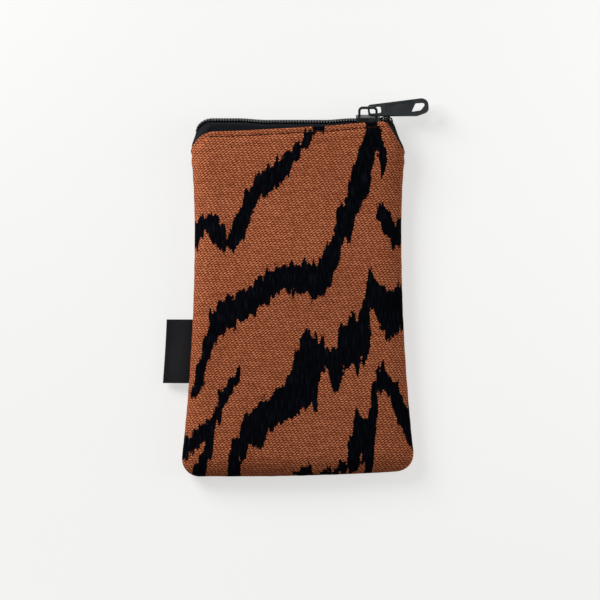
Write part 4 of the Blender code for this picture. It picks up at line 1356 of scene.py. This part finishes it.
# %% [markdown]
# ## The loop label
#
# A satin ribbon is folded in half and caught in the left seam. It is bare: a satin face with its
# fine ribs. The two plies lie close together and drop a little towards the table. One section line
# with both plies and the fold is carried along the seam, so the ribbon is a single sheet.

# %% Satin ribbon
SATIN_COLOURS = ((0.004, 0.004, 0.0046), (0.013, 0.0122, 0.0145))
SATIN_FLOATS = (4000, 350)     # a metre, along and up
SATIN_RIB = 0.35 * MM
SATIN_SHARES = (0.8, 0.2)      # of the colour, by floats and by ribs
SATIN_RELIEF = (0.6, 0.4)      # and of the relief
SATIN_HEIGHT = 0.03 * MM
SATIN_ROUGHNESS = (0.36, 0.20)     # at least, and more by floats


def satin_finish():
    """Satin: long floats along the ribbon, with a fine rib across them."""
    finish = Finish("black_satin", specular=0.12)
    place = finish.cloth_place()
    floats = finish.cloth_noise(place, *SATIN_FLOATS)
    ribs = place[0].ribs(SATIN_RIB)
    share = (floats * SATIN_SHARES[0] + ribs * SATIN_SHARES[1]).clamped()
    height = floats * SATIN_RELIEF[0] + ribs * SATIN_RELIEF[1]
    return finish.finished(Base_Color=finish.mix(share, *SATIN_COLOURS),
                           Roughness=SATIN_ROUGHNESS[0] + SATIN_ROUGHNESS[1] * floats,
                           Normal=finish.bump(height, SATIN_HEIGHT))


black_satin = satin_finish()
print("satin ribs", round(1000 * SATIN_RIB, 2), "mm apart")

# %% Label
LABEL_LOW_Y = -43 * MM
LABEL_HIGH_Y = -11 * MM
LABEL_REACH = 12.6 * MM
LABEL_PLY = 0.25 * MM
LABEL_FOLD = 0.35 * MM
LABEL_DROP = 2.2 * MM
LABEL_TUCK = 1.5 * MM
LABEL_WAVE = 0.25 * MM
LABEL_WAVINESS = 190
PLY_STEPS = 14
TURN_STEPS = 9
LABEL_STEPS = 33


def label():
    """Section: level plies joined by a half round, carried along the seam."""
    reach_out = LABEL_REACH - LABEL_FOLD
    out = np.linspace(-LABEL_TUCK, reach_out, PLY_STEPS)
    turn = np.linspace(math.pi / 2, -math.pi / 2, TURN_STEPS)[1:-1]
    level = np.full(PLY_STEPS, LABEL_FOLD)
    section_out = np.concatenate([out, reach_out + LABEL_FOLD * np.cos(turn), out[::-1]])
    height = np.concatenate([level, LABEL_FOLD * np.sin(turn), -level])
    y = np.linspace(LABEL_LOW_Y, LABEL_HIGH_Y, LABEL_STEPS)[:, None]
    share = section_out / LABEL_REACH
    sag = LABEL_DROP * smooth(share) + LABEL_WAVE * np.sin(y * LABEL_WAVINESS) * clamp(share)
    x = -half_width(y) - LAYER_GAP - section_out
    middle = np.stack(np.broadcast_arrays(x, y, SEAM_HEIGHT + height - sag), axis=-1)
    piece = slab("label_ribbon", middle, LABEL_PLY, black_satin, "case")
    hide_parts("loop_label")
    return piece


print(label().name, "is bare satin")

# %% [markdown]
# ## Slider and puller
#
# Both are cast in zinc and plated dark. The solids have their true shape already, so they stay and
# get a finish: a satin dark metal with a faint grain, and paler smudges where fingers rubbed it.

# %% Dark metal
METAL_COLOURS = ((0.042, 0.048, 0.051), (0.070, 0.076, 0.078))
METAL_GRAIN = 1400.0
METAL_SMUDGE = 160.0
GRAIN_HEIGHT = 0.02 * MM
METAL_ROUGHNESS = (0.30, 0.12)     # at least, and more by grain and by smudges


def metal_finish():
    """Dark plating: smudges change its colour, and they and a fine grain its gloss."""
    finish = Finish("dark_plating", metallic=0.85, specular=0.5)
    place = finish.object_place()
    grain = finish.noise(place, METAL_GRAIN)
    smudge = finish.noise(place, METAL_SMUDGE)
    return finish.finished(Base_Color=finish.mix(smudge, *METAL_COLOURS),
                           Roughness=METAL_ROUGHNESS[0] + METAL_ROUGHNESS[1] * (grain + smudge),
                           Normal=finish.bump(grain, GRAIN_HEIGHT))


dark_plating = metal_finish()
for name in ("slider", "puller"):
    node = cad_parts[name]
    node.data.materials.clear()
    node.data.materials.append(dark_plating)
print("slider and puller plated")
